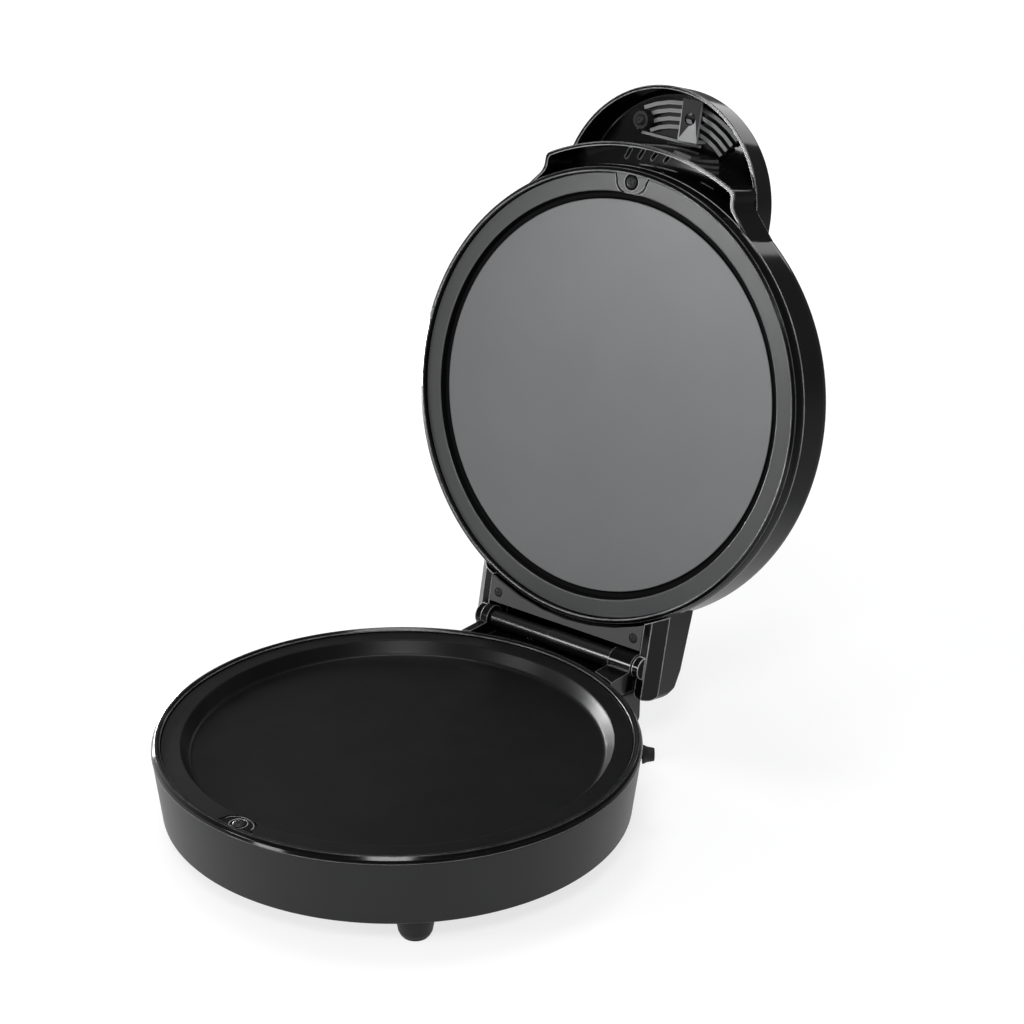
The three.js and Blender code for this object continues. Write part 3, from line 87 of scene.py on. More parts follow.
class Graph:
    """Nodes of one material or node group, placed from left to right."""

    def __init__(self, tree):
        self.tree = tree
        self.count = 0

    def node(self, kind, inputs=None, **settings):
        made = self.tree.nodes.new(kind)
        made.location = (NODE_STEP * self.count, 0)
        self.count += 1
        for name, value in settings.items():
            setattr(made, name, value)
        for key, value in (inputs or {}).items():
            self.feed(made.inputs[key], value)
        return made

    def feed(self, socket, value):
        if isinstance(value, bpy.types.NodeSocket):
            self.tree.links.new(value, socket)
        else:
            socket.default_value = value

    def maths(self, operation, first, second, clamp=False):
        made = self.node("ShaderNodeMath", {0: first, 1: second}, operation=operation, use_clamp=clamp)
        return made.outputs[0]

    def blend(self, share, first, second):
        """Two colours mixed."""
        mixed = self.node("ShaderNodeMix", data_type="RGBA")
        self.feed(mixed.inputs["Factor"], share)
        self.feed(mixed.inputs[6], first)
        self.feed(mixed.inputs[7], second)
        return mixed.outputs[2]

    def noise(self, scale, detail, vector, roughness=0.5):
        made = self.node("ShaderNodeTexNoise", {"Scale": scale, "Detail": detail, "Roughness": roughness})
        self.feed(made.inputs["Vector"], vector)
        return made.outputs["Fac"]

    def spread(self, value, low, high, to_low=0.0, to_high=1.0):
        """A value brought from one range to another, and held inside it."""
        made = self.node("ShaderNodeMapRange", {
            "Value": value, "From Min": low, "From Max": high, "To Min": to_low, "To Max": to_high})
        return made.outputs["Result"]


def new_group(name, inputs, outputs):
    """A shader node group: inputs and outputs are (name, socket kind, value) and (name, socket kind)."""
    tree = bpy.data.node_groups.new(name, "ShaderNodeTree")
    for label, kind, value in inputs:
        socket = tree.interface.new_socket(name=label, in_out="INPUT", socket_type="NodeSocket" + kind)
        socket.default_value = value
    for label, kind in outputs:
        tree.interface.new_socket(name=label, in_out="OUTPUT", socket_type="NodeSocket" + kind)
    graph = Graph(tree)
    entry = graph.node("NodeGroupInput")
    leave = graph.node("NodeGroupOutput")
    return tree, graph, entry.outputs, leave.inputs


def make_grain():
    """Fine texture of a moulded or cast surface: a height and a spread of roughness."""
    tree, g, given, out = new_group(
        "surface grain",
        [("Grain Size", "Float", 0.0006), ("Roughness", "Float", 0.4), ("Roughness Spread", "Float", 0.06)],
        [("Height", "Float"), ("Roughness", "Float")])
    place = g.node("ShaderNodeTexCoord").outputs["Object"]
    per_metre = g.maths("DIVIDE", 1.0, given["Grain Size"])
    fine = g.noise(per_metre, 2.0, place)
    broad = g.noise(BROAD_SCALE, 3.0, place)
    g.feed(out["Height"], fine)
    lift = g.maths("MULTIPLY", g.maths("SUBTRACT", broad, 0.5), given["Roughness Spread"])
    sparkle = g.maths("MULTIPLY", g.maths("SUBTRACT", fine, 0.5),
                      g.maths("MULTIPLY", given["Roughness Spread"], SPARKLE_SHARE))
    g.feed(out["Roughness"], g.maths("ADD", given["Roughness"], g.maths("ADD", lift, sparkle), True))
    return tree


def make_edge_wear_and_highlights():
    """Mask of the outer edges that are drawn lighter: rubbed by hands and cleaning, and painted highlight lines
    where a finish gives the mask a high amount and a pale edge colour.
    """
    tree, g, given, out = new_group("edge wear and painted highlights", [("Amount", "Float", 0.3)], [("Mask", "Float")])
    geometry = g.node("ShaderNodeNewGeometry").outputs
    place = g.node("ShaderNodeTexCoord").outputs["Object"]
    around = g.node("ShaderNodeBevel", {"Radius": EDGE_MASK_REACH}, samples=EDGE_MASK_SAMPLES).outputs["Normal"]
    agreement = g.node("ShaderNodeVectorMath", {0: around, 1: geometry["Normal"]}, operation="DOT_PRODUCT")
    edge = g.spread(agreement.outputs["Value"], 0.955, 0.995, 1.0, 0.0)
    outer_edge = g.maths("MULTIPLY", edge, g.spread(geometry["Pointiness"], 0.5, 0.53))
    patchy = g.spread(g.noise(EDGE_PATCH_SCALE, 4.0, place), 0.25, 0.6, 0.4, 1.0)
    g.feed(out["Mask"], g.maths("MULTIPLY", g.maths("MULTIPLY", outer_edge, patchy), given["Amount"], True))
    return tree


def make_dust():
    """Mask of the faint dust that settles on faces that look up."""
    tree, g, given, out = new_group("settled dust", [("Amount", "Float", 0.04)], [("Mask", "Float")])
    normal = g.node("ShaderNodeSeparateXYZ", {0: g.node("ShaderNodeNewGeometry").outputs["Normal"]})
    place = g.node("ShaderNodeTexCoord").outputs["Object"]
    upward = g.spread(normal.outputs["Z"], 0.3, 1.0)
    cloud = g.spread(g.noise(DUST_SCALE, 5.0, place, 0.65), 0.35, 0.75)
    g.feed(out["Mask"], g.maths("MULTIPLY", g.maths("MULTIPLY", upward, cloud), given["Amount"], True))
    return tree


grain_group = make_grain()
wear_and_highlight_group = make_edge_wear_and_highlights()
dust_group = make_dust()


def tint(colour, times):
    return tuple(min(1.0, part * times) for part in colour[:3]) + (1.0,)


def finish(name, colour, roughness, grain, spread=0.05, wear_and_highlight=0.2, dust=0.03, mottle=0.12, worn_and_highlight_colour=None, **sockets):
    """A finish: its colour varies a little, its edges are lighter, from wear and, on the gloss black and land
    finishes, from painted highlight lines, and its faces carry grain and faint dust.

    grain is (size, depth), and the remaining names are the shader's own sockets.
    """
    material = bpy.data.materials.new(name)
    material.use_nodes = True
    material.diffuse_color = tuple(colour) + (1.0,)
    tree = material.node_tree
    tree.nodes.clear()
    g = Graph(tree)
    place = g.node("ShaderNodeTexCoord").outputs["Object"]
    grained = g.node("ShaderNodeGroup", node_tree=grain_group)
    grained.inputs["Grain Size"].default_value = grain[0]
    grained.inputs["Roughness"].default_value = roughness
    grained.inputs["Roughness Spread"].default_value = spread
    wear_and_highlight_mask = g.node("ShaderNodeGroup", node_tree=wear_and_highlight_group)
    wear_and_highlight_mask.inputs["Amount"].default_value = wear_and_highlight
    dusty = g.node("ShaderNodeGroup", node_tree=dust_group)
    dusty.inputs["Amount"].default_value = dust
    cloud = g.spread(g.noise(MOTTLE_SCALE, 4.0, place), 0.3, 0.7)
    base = g.blend(cloud, tint(colour, 1 - mottle), tint(colour, 1 + mottle))
    # Lighter edges: wear, and on the gloss black, hinge and land finishes painted highlight lines.
    rubbed_and_lit = g.blend(wear_and_highlight_mask.outputs["Mask"], base, worn_and_highlight_colour or tint(colour, RUBBED_LIFT))
    dusted = g.blend(dusty.outputs["Mask"], rubbed_and_lit, DUST_COLOUR)
    bump = g.node("ShaderNodeBump", {
        "Strength": 1.0, "Distance": grain[1], "Height": grained.outputs["Height"]})
    shader = g.node("ShaderNodeBsdfPrincipled", {
        "Base Color": dusted, "Roughness": grained.outputs["Roughness"], "Normal": bump.outputs["Normal"]})
    for socket, value in sockets.items():
        shader.inputs[socket.replace("_", " ")].default_value = value
    g.node("ShaderNodeOutputMaterial", {"Surface": shader.outputs[0]})
    return material


# Grains: (size, depth)
MOULDED = (0.0005, 0.000008)
COARSE_MOULDED = (0.0005, 0.00001)
MATTE = (0.0004, 0.00001)
POLISHED = (0.0012, 0.000001)
METAL = (0.0006, 0.000004)
GLASSY = (0.002, 0.000001)

PIANO_BLACK = (0.003, 0.003, 0.0033)
# White for painted highlight lines along the gloss black edges.
PAINTED_HIGHLIGHT_WHITE = (0.7, 0.7, 0.7, 1.0)

satin_wall = finish("satin wall plastic", (0.012, 0.0122, 0.0125), 0.4, MOULDED, Specular_IOR_Level=0.36)
# The gloss black, rim and hinge finishes use their edge mask at a high amount with a pale edge colour: painted
# highlight lines along their edges.
gloss_black = finish("gloss black plastic", PIANO_BLACK, 0.09, POLISHED, spread=0.03, wear_and_highlight=1.0, dust=0.008,
                     worn_and_highlight_colour=PAINTED_HIGHLIGHT_WHITE, Specular_IOR_Level=0.25)
rim_black = finish("gloss black rim plastic", PIANO_BLACK, 0.12, POLISHED, spread=0.03, wear_and_highlight=1.0, dust=0.008,
                   worn_and_highlight_colour=PAINTED_HIGHLIGHT_WHITE, Specular_IOR_Level=0.25)
hinge_black = finish("gloss black hinge plastic", PIANO_BLACK, 0.14, (0.0008, 0.000003), spread=0.04, wear_and_highlight=0.4,
                     dust=0.008, worn_and_highlight_colour=(0.5, 0.5, 0.5, 1.0), Specular_IOR_Level=0.4)
barrel_black = finish("satin black barrel plastic", (0.004, 0.004, 0.0043), 0.24, (0.0008, 0.000002),
                      spread=0.03, wear_and_highlight=0.1, dust=0.008, Specular_IOR_Level=1.0)
skirt_satin = finish("satin skirt plastic", (0.07, 0.07, 0.071), 0.38, MOULDED, Specular_IOR_Level=0.3)
# Matte black for the feet, gland and bottom cover, and also laid as painted shade in the handle's hollows and
# holes.
matte_black = finish("matte black plastic and painted shade", (0.012, 0.012, 0.013), 0.5, MATTE, Specular_IOR_Level=0.3)
coating = finish("grey non-stick coating", (0.14, 0.142, 0.144), 0.36, (0.0008, 0.000012), wear_and_highlight=0.1, dust=0.01,
                 mottle=0.03, Metallic=0.15)
# The land's edge mask at a high amount with grey paints highlight lines along its edges.
land_coating = finish("dark land coating", (0.05, 0.051, 0.052), 0.3, (0.0011, 0.00003), spread=0.08, wear_and_highlight=0.8,
                      dust=0.01, mottle=0.1, worn_and_highlight_colour=(0.4, 0.4, 0.4, 1.0), Metallic=0.15)
# Near black with almost no reflection: painted shade in the upper plate's groove and in the lid tab's screw
# bore.
painted_shade_coating = finish("painted shade coating", PIANO_BLACK, 0.5, (0.0008, 0.000006), wear_and_highlight=0.05, dust=0.0,
                        Specular_IOR_Level=0.05)
# Near black where the upper plate's same coating is grey: painted shade on the lower plate, which faces up.
shaded_pan_coating = finish("black pan coating with painted shade", (0.005, 0.005, 0.0055), 0.34, (0.0008, 0.000004), wear_and_highlight=0.1,
                     dust=0.006, Specular_IOR_Level=0.2)
zinc_steel = finish("dark zinc-plated steel", (0.16, 0.16, 0.165), 0.34, METAL, Metallic=1.0)
black_steel = finish("blackened steel", (0.02, 0.02, 0.021), 0.45, METAL, worn_and_highlight_colour=(0.2, 0.2, 0.2, 1.0),
                     Specular_IOR_Level=0.2)
dark_tube = finish("heat-darkened tube", (0.16, 0.15, 0.15), 0.4, METAL, Metallic=1.0)
shield_sheet = finish("galvanised sheet", (0.55, 0.55, 0.56), 0.36, (0.002, 0.000004), Metallic=1.0)
ceramic_body = finish("unglazed ceramic", (0.66, 0.62, 0.53), 0.7, MATTE)
foot_rubber = finish("foot rubber", (0.012, 0.012, 0.013), 0.8, (0.0005, 0.00002))
inner_plastic = finish("mid grey moulding", (0.24, 0.24, 0.243), 0.45, COARSE_MOULDED, mottle=0.06)
# A lighter copy of the mid grey moulding: painted light on the bracket, which the handle's wall shades.
lit_bracket_plastic = finish("mid grey moulding with painted light", (0.36, 0.36, 0.363), 0.45, COARSE_MOULDED, mottle=0.06)
red_lens = finish("red lens", (0.35, 0.008, 0.006), 0.12, GLASSY, Transmission_Weight=0.3)
green_lens = finish("green lens", (0.01, 0.2, 0.035), 0.12, GLASSY, Transmission_Weight=0.3)

finish_of_slot = {
    "base_wall": satin_wall, "gloss_rim": rim_black, "lid_gloss": gloss_black, "non_stick": coating,
    "black_non_stick": shaded_pan_coating, "hinge_gloss": hinge_black, "skirt_satin": skirt_satin,
    "screw_steel": zinc_steel, "screw_black": black_steel, "element_steel": dark_tube,
    "shield_steel": shield_sheet, "pin_steel": zinc_steel, "ceramic": ceramic_body,
    "matte_black": matte_black, "pad_rubber": foot_rubber, "handle_inside": inner_plastic,
    "red_lens": red_lens, "green_lens": green_lens,
}
slot_of_node = {row["node"]: row["material_slot"] for row in frame["record"]["subparts"]}
for name, node in frame["nodes"].items():
    for slot in node.material_slots:
        slot.material = finish_of_slot[slot_of_node[name]]

# Shapes, in millimetres. The base is drawn around the pan's centre, with zero at the rim's top.
# The lid is drawn closed over it, and ON_LID swings it open.

MM = 0.001
ROUND = 180                 # sides of the large turned pieces
OPEN_ANGLE = math.radians(101.62)
HINGE_REACH = 186.5         # from the pan's centre back to the hinge's axis
RIM_HEIGHT = 71.0           # of the base rim's top above the table
RIM_RADIUS = 169.9          # base rim, outside
LID_RADIUS = 168.8          # lid's rim and drum, outside
LIP_INNER = 163.6           # both rims, inside
PLATE_RADIUS = 163.3        # both plates, outside
SEAT_RADIUS = 157.5         # the seats that carry the plates, inside
GROOVE_RADIUS = 150.0       # the upper plate's groove, outside
PAN_EDGE = 148.9            # the tabs' pockets cut nothing inside this radius
BASE_LAND = -2.4            # face of the lower plate's land
LID_LAND = 4.8              # face of the upper plate's land
TAB_REACH = 158.0           # from a plate's centre to its tab's screw
HOUSING_FLOOR = -52.5       # lower edge of the base housing

ON_BASE = Matrix.Translation((0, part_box("base_rim")[1].y / MM - RIM_RADIUS, RIM_HEIGHT))
ON_LID = (ON_BASE @ Matrix.Translation((0, HINGE_REACH, 0)) @ Matrix.Rotation(-OPEN_ANGLE, 4, "X")
          @ Matrix.Translation((0, -HINGE_REACH, 0)))
ALONG_X = Matrix(((0, 0, 1, 0), (1, 0, 0, 0), (0, 1, 0, 0), (0, 0, 0, 1)))
FACE_DOWN = Matrix.Rotation(math.pi, 4, "X")


def moved(place, x, y, z=0):
    return place @ Matrix.Translation((x, y, z))


def on_circle(radius, angle):
    return radius * math.cos(angle), radius * math.sin(angle)


def fillet(points, closed=True, steps=4):
    """Rounds the corners of an outline: a point is (a, b), or (a, b, radius) where its corner is an arc."""
    made = []
    last = len(points) - 1
    for i, point in enumerate(points):
        here = Vector(point[:2])
        if len(point) < 3 or (not closed and i in (0, last)):
            made.append((here.x, here.y))
            continue
        before = Vector(points[i - 1][:2]) - here
        after = Vector(points[(i + 1) % len(points)][:2]) - here
        half = before.angle(after) / 2
        run = min(point[2] / math.tan(half), 0.48 * before.length, 0.48 * after.length)
        start = here + before.normalized() * run
        centre = here + (before.normalized() + after.normalized()).normalized() * run / math.cos(half)
        first = start - centre
        final = here + after.normalized() * run - centre
        begin = math.atan2(first.y, first.x)
        sweep = (math.atan2(final.y, final.x) - begin + math.pi) % (2 * math.pi) - math.pi
        for step in range(steps + 1):
            x, y = on_circle(first.length, begin + sweep * step / steps)
            made.append((centre.x + x, centre.y + y))
    return made


def mesh_object(name, points, faces, place):
    """A closed solid with its faces turned outwards, put in place and brought to metres."""
    mesh = bpy.data.meshes.new(name)
    mesh.from_pydata([tuple(place @ Vector(point) * MM) for point in points], [], faces)
    shape = bmesh.new()
    shape.from_mesh(mesh)
    bmesh.ops.remove_doubles(shape, verts=shape.verts, dist=1e-7)
    bmesh.ops.recalc_face_normals(shape, faces=shape.faces)
    shape.to_mesh(mesh)
    shape.free()
    made = bpy.data.objects.new(name, mesh)
    bpy.context.scene.collection.objects.link(made)
    return made


def turned(name, profile, place, sides=ROUND, ring=False):
    """A profile of (radius, height) turned about Z: closed for a ring, and otherwise from axis to axis."""
    points, rows = [], []
    for radius, height in profile:
        if radius < 1e-6:
            rows.append([len(points)] * sides)
            points.append((0, 0, height))
            continue
        rows.append(list(range(len(points), len(points) + sides)))
        points += [(*on_circle(radius, 2 * math.pi * i / sides), height) for i in range(sides)]
    faces = []
    pairs = list(zip(rows, rows[1:])) + ([(rows[-1], rows[0])] if ring else [])
    for low, high in pairs:
        for i in range(sides):
            j = (i + 1) % sides
            corner = list(dict.fromkeys((low[i], low[j], high[j], high[i])))
            if len(corner) > 2:
                faces.append(corner)
    return mesh_object(name, points, faces, place)


def rod(radius, low, high, place, sides=ROUND):
    """A plain round cutter or stub between two heights."""
    return turned("rod", [(0, low), (radius, low), (radius, high), (0, high)], place, sides)


def stacked(name, levels, place):
    """A closed skin over outlines that have equal point counts; levels are lists of (x, y, z)."""
    count = len(levels[0])
    points = [point for level in levels for point in level]
    faces = []
    for row in range(len(levels) - 1):
        for i in range(count):
            j = (i + 1) % count
            faces.append((row * count + i, row * count + j, (row + 1) * count + j, (row + 1) * count + i))
    faces.append(tuple(range(count)))
    faces.append(tuple(range((len(levels) - 1) * count, len(levels) * count)))
    return mesh_object(name, points, faces, place)


def drawn_in(outline, inset):
    """The outline moved inwards, square to itself."""
    area = sum(a[0] * b[1] - b[0] * a[1] for a, b in zip(outline, outline[1:] + outline[:1]))
    turn = 1 if area > 0 else -1
    made = []
    for i, here in enumerate(outline):
        before = Vector(here) - Vector(outline[i - 1])
        after = Vector(outline[(i + 1) % len(outline)]) - Vector(here)
        normal = Vector((-before.y, before.x)).normalized() + Vector((-after.y, after.x)).normalized()
        normal = normal.normalized() * turn
        lean = max(0.5, normal.dot(Vector((-before.y, before.x)).normalized() * turn))
        made.append((here[0] + normal.x * inset / lean, here[1] + normal.y * inset / lean))
    return made


def slab(name, outline, low, high, place, low_round, high_round):
    """An outline raised between two heights, with its edges rounded; a negative rounding flares outwards."""
    arc = [math.pi / 2 * step / 3 for step in range(4)]
    rows = [(low + abs(low_round) * (1 - math.cos(a)), low_round * (1 - math.sin(a))) for a in arc]
    rows += [(high - abs(high_round) * (1 - math.cos(a)), high_round * (1 - math.sin(a)))
             for a in reversed(arc)]
    levels = [[(x, y, height) for x, y in drawn_in(outline, inset)] for height, inset in rows]
    return stacked(name, levels, place)


def combined(target, tools, operation):
    for tool in tools:
        step = target.modifiers.new("combine", "BOOLEAN")
        step.object = tool
        step.operation = operation
        step.solver = "MANIFOLD"
    settle(target)
    for tool in tools:
        bpy.data.objects.remove(tool)
    return target


def settle(target):
    """Makes the modifiers' result the piece's own mesh."""
    bpy.context.view_layer.update()
    shown = target.evaluated_get(bpy.context.evaluated_depsgraph_get())
    mesh = bpy.data.meshes.new_from_object(shown)
    target.modifiers.clear()
    target.data = mesh


def joined(target, *tools):
    return combined(target, tools, "UNION")


def cut(target, *tools):
    return combined(target, tools, "DIFFERENCE")


def common(target, *tools):
    return combined(target, tools, "INTERSECT")


def rounded_edges(piece, width, angle=35):
    step = piece.modifiers.new("edges", "BEVEL")
    step.width = width * MM
    step.segments = 2
    step.limit_method = "ANGLE"
    step.angle_limit = math.radians(angle)
    step.miter_outer = "MITER_ARC"
    settle(piece)
    return piece


def dressed(piece, material, body, node, crease=38):
    """Gives a finished piece its material and soft shading, and puts it in its node's place on a body."""
    piece.data.materials.clear()
    piece.data.materials.append(material)
    for face in piece.data.polygons:
        face.use_smooth = True
        face.material_index = 0
    piece.data.set_sharp_from_angle(angle=math.radians(crease))
    step = piece.modifiers.new("shading", "WEIGHTED_NORMAL")
    step.keep_sharp = True
    settle(piece)
    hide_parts(node)
    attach(piece, body)


def recoloured(piece, colourings, place):
    """Gives parts of a piece another material, for coatings and for painted shade and reflection: each is
    (material, test of a face's middle, as the place sees it).
    """
    to_place = place.inverted()
    for material, covers in colourings:
        piece.data.materials.append(material)
        number = len(piece.data.materials) - 1
        for face in piece.data.polygons:
            if covers(to_place @ (face.center / MM)):
                face.material_index = number


def between_radii(inner, outer):
    return lambda spot: inner < math.hypot(spot.x, spot.y) < outer


def softened(node, name, width):
    """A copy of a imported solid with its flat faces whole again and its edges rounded."""
    piece = bpy.data.objects.new(name, frame["nodes"][node].data.copy())
    bpy.context.scene.collection.objects.link(piece)
    shape = bmesh.new()
    shape.from_mesh(piece.data)
    bmesh.ops.remove_doubles(shape, verts=shape.verts, dist=1e-6)
    bmesh.ops.dissolve_limit(
        shape, angle_limit=math.radians(1), verts=shape.verts, edges=shape.edges, delimit={"NORMAL"})
    shape.to_mesh(piece.data)
    shape.free()
    return rounded_edges(piece, width)


# Rims, plates and their tabs


def tab_outline(play):
    """The tab seen from its plate: wide at the rim and rounded at its end."""
    root = -(LIP_INNER + 0.5 + play)
    end = 12 + play
    arc = [(end * math.cos(math.pi * i / 24), -TAB_REACH + (8.4 + play) * math.sin(math.pi * i / 24))
           for i in range(25)]
    return [(15 + play, root), *arc, (-15 - play, root)]


def at_tab(height=0.0):
    return Matrix.Translation((0, -TAB_REACH, height))


def rim_ring(name, profile, place, face, inwards):
    """A rim's ring with the tab that holds the plate down."""
    ring = turned(name, fillet(profile), place, ring=True)
    low, high = sorted((face, face + inwards * 1.9))
    tab = slab("tab", tab_outline(0), low, high, place, *((0.1, 0.4) if inwards < 0 else (0.4, 0.1)))
    hole = rod(1.8, *sorted((face - inwards * 3, face + inwards * 5)), place @ at_tab(), 24)
    sink = sorted(((face - inwards * 2, 7.6), (face + inwards * 0.1, 5.9), (face + inwards * 0.8, 5.5)))
    sink_profile = [(0, sink[0][0]), *[(radius, height) for height, radius in sink], (0, sink[-1][0])]
    bore = turned("bore", sink_profile, place @ at_tab(), 64)
    return cut(joined(ring, tab), hole, bore)


def cast_plate(name, profile, place, face, inwards):
    """A plate with a pocket in its edge where the rim's tab goes."""
    plate = turned(name, fillet(profile, closed=False), place)
    low, high = sorted((face - inwards * 2, face + inwards * 2.2))
    pocket = slab("pocket", tab_outline(1.6), low, high, place, 0.2, 0.2)
    return cut(plate, cut(pocket, rod(PAN_EDGE, low - 1, high + 1, place)))


base_rim = rim_ring("base_rim_ring", [
    (LIP_INNER, -8.3), (LIP_INNER, -1.2, 0.7), (164.8, -0.6, 0.5), (166.0, 0, 0.9), (167.4, -0.2, 1.0),
    (169.2, -2.4, 1.6), (RIM_RADIUS, -4.4, 0.6), (RIM_RADIUS, -5.0, 0.2), (166.7, -5.0), (166.7, -8.3)],
    ON_BASE, BASE_LAND, -1)
dressed(base_rim, rim_black, "base", "base_rim")

lower_plate = cast_plate("lower_pan_casting", [
    (0, -12.4), (144, -12.4, 4.0), (149.4, -3.2, 1.2), (150.2, BASE_LAND, 0.6), (PLATE_RADIUS, BASE_LAND, 0.9),
    (PLATE_RADIUS, -5.4), (151.8, -5.4, 1.0), (147, -14.6, 2.0), (145.5, -15.4), (0, -15.4)],
    ON_BASE, BASE_LAND, -1)
dressed(lower_plate, shaded_pan_coating, "base", "lower_plate")

lid_rim = rim_ring("lid_rim_ring", [
    (LIP_INNER, 10.7), (LIP_INNER, 1.8), (164.1, 0.5, 0.8), (166.2, 1.6, 0.9), (167.2, 2.1, 0.5),
    (168.0, 4.2, 0.8), (LID_RADIUS, 7.8, 1.5), (LID_RADIUS, 10.7)], ON_LID, LID_LAND, 1)
dressed(lid_rim, rim_black, "lid", "lid_rim")
tab_face = LID_LAND + 0.15
# The tab's face takes the land's lighter coating, a painted reflection of the light from above; its screw bore
# takes near black, a painted shade.
recoloured(lid_rim, (
    (land_coating, lambda spot: spot.z < tab_face and math.hypot(spot.x, spot.y) < 163.4),
    (painted_shade_coating, lambda spot: spot.z > tab_face and math.hypot(spot.x, spot.y + TAB_REACH) < 6.4)), ON_LID)

upper_plate = cast_plate("upper_plate_casting", [
    (0, 8.3), (144, 8.3, 0.8), (145.4, 9.9, 0.7), (148.6, 9.9, 0.7), (GROOVE_RADIUS, LID_LAND, 1.1),
    (PLATE_RADIUS, LID_LAND, 0.9), (PLATE_RADIUS, 7.8), (151.8, 7.8), (149.4, 12.9), (144, 12.9), (141, 11.3),
    (0, 11.3)], ON_LID, LID_LAND, 1)
dressed(upper_plate, coating, "lid", "upper_plate")
# The groove is painted near black: painted shade in it. The land keeps its own darker coating.
recoloured(upper_plate, (
    (painted_shade_coating, between_radii(144.2, GROOVE_RADIUS)), (land_coating, between_radii(GROOVE_RADIUS, 164))),
    ON_LID)

# Base housing with its hinge box, its feet and its cord gland

housing = turned("base_drum", fillet([
    (169.6, -5.3, 0.25), (163.9, HOUSING_FLOOR, 1.4), (161.3, HOUSING_FLOOR, 0.4), (166.3, -11.1),
    (PLATE_RADIUS, -11.1), (SEAT_RADIUS, -8.2), (SEAT_RADIUS, -5.7, 0.5), (PLATE_RADIUS, -5.7),
    (PLATE_RADIUS, -8.6), (167.0, -8.6), (167.0, -5.3, 0.25)]), ON_BASE, ring=True)
inside = turned("inside", [
    (0, -54), (161.1, -54), (161.3, HOUSING_FLOOR), (167.0, -5.3), (0, -5.3)], ON_BASE)
box_side = fillet([
    (136, HOUSING_FLOOR), (187.5, HOUSING_FLOOR, 2.0), (193.2, -44, 6.0), (193.2, -22, 1.2),
    (191.5, -19.2, 1.0), (136, -13.0)])
box_hollow_side = [(134, -54), (184.9, -54), (190.6, -44), (190.6, -24.6), (188.9, -21.8), (134, -15.6)]
hinge_box = slab("hinge_box", box_side, -70, 70, ON_BASE @ ALONG_X, 1.6, 1.6)
box_hollow = slab("box_hollow", box_hollow_side, -67.4, 67.4, ON_BASE @ ALONG_X, 0.2, 0.2)
housing = joined(housing, cut(hinge_box, box_hollow, inside))
dressed(housing, satin_wall, "base", "base_housing", crease=32)

foot_profile = fillet([
    (0, -52.3), (13.8, -52.3, 0.4), (13.7, -53.6, 1.0), (11.4, -66.6, 3.2), (10.0, -69.5, 0.6),
    (9.3, -69.5), (9.3, -67.7), (0, -67.7)], closed=False)
pad_profile = fillet([(0, -68.0), (9.0, -68.0), (9.0, -71, 0.6), (0, -71)], closed=False)
front_foot = 146.9 * math.sqrt(0.5)
foot_places = {
    "front_left": (-front_foot, -front_foot), "front_right": (front_foot, -front_foot),
    "rear_left": (-52, 170), "rear_right": (52, 170),
}
for where, spot in foot_places.items():
    place = moved(ON_BASE, *spot)
    dressed(turned(f"foot_{where}_moulding", foot_profile, place, 64), matte_black, "base",
            f"foot_{where}")
    dressed(turned(f"foot_{where}_rubber", pad_profile, place, 64), foot_rubber, "base",
            f"foot_pad_{where}")

gland_profile = [
    (1.8, 159.7, 0.2), (4.5, 159.7, 0.3), (4.5, 162.2, 0.3), (3.2, 162.2), (3.2, 169.8), (6.9, 169.8, 0.5),
    (6.4, 171.5, 1.0), (5.5, 173.2, 1.5), (4.6, 178.4, 0.9), (1.8, 178.4, 0.3)]
gland_place = moved(ON_BASE, 0, 0, -16) @ Matrix.Rotation(math.radians(38), 4, "Z") @ ALONG_X
gland = turned("cord_gland_moulding", fillet(gland_profile, steps=3), gland_place, 48, ring=True)
dressed(gland, matte_black, "base", "cord_gland")

# Lid shell: drum and crown, band with the half-round handle, shoulder and hinge block

BAND_HALF = 86.5            # half the width of the band, the handle and the hinge block
BAND_START = -40            # the band's rear end, forwards from the centre
BAND_UNDER = 39.8           # lower edge of the band and the handle
HANDLE_CENTRE = 141.3       # from the centre forwards to the middle of the handle's arc
SHOULDER_RADIUS = 185.2     # the shoulder's front
WALL = 2.8                  # band, handle and shoulder
HEM = 0.7                   # rounding of the band's and the recess's lower edges
DRUM_TOP = 40.9             # where the crown begins
CHEEK_INNER = 70.6          # inner side of the hinge block's cheeks
BLOCK_FRONT = 144.95 - 5.6  # front of the hinge block, inside the drum
BLOCK_CROWN = [(203.5, 30.5, 5.0), (190, 35.2, 9.0), (BLOCK_FRONT, 40.4)]
SCREW_BOSS_REACH = 166.7    # the skirt's screws and their bosses, behind the centre
SCREW_BOSS_HALF = 63        # from the middle to each of them
LAMP_REACH = -138           # the indicator lamps, ahead of the centre
LAMP_HALF = 15
VENT_RADIUS = 176.9         # of the arc that the shoulder's vents lie on


def band_top(forward):
    """Height of the band's top, which rises smoothly towards the handle."""
    share = min(1.0, max(0.0, (forward - BAND_START) / 148))
    return 53 + 12.7 * share * share * (3 - 2 * share)


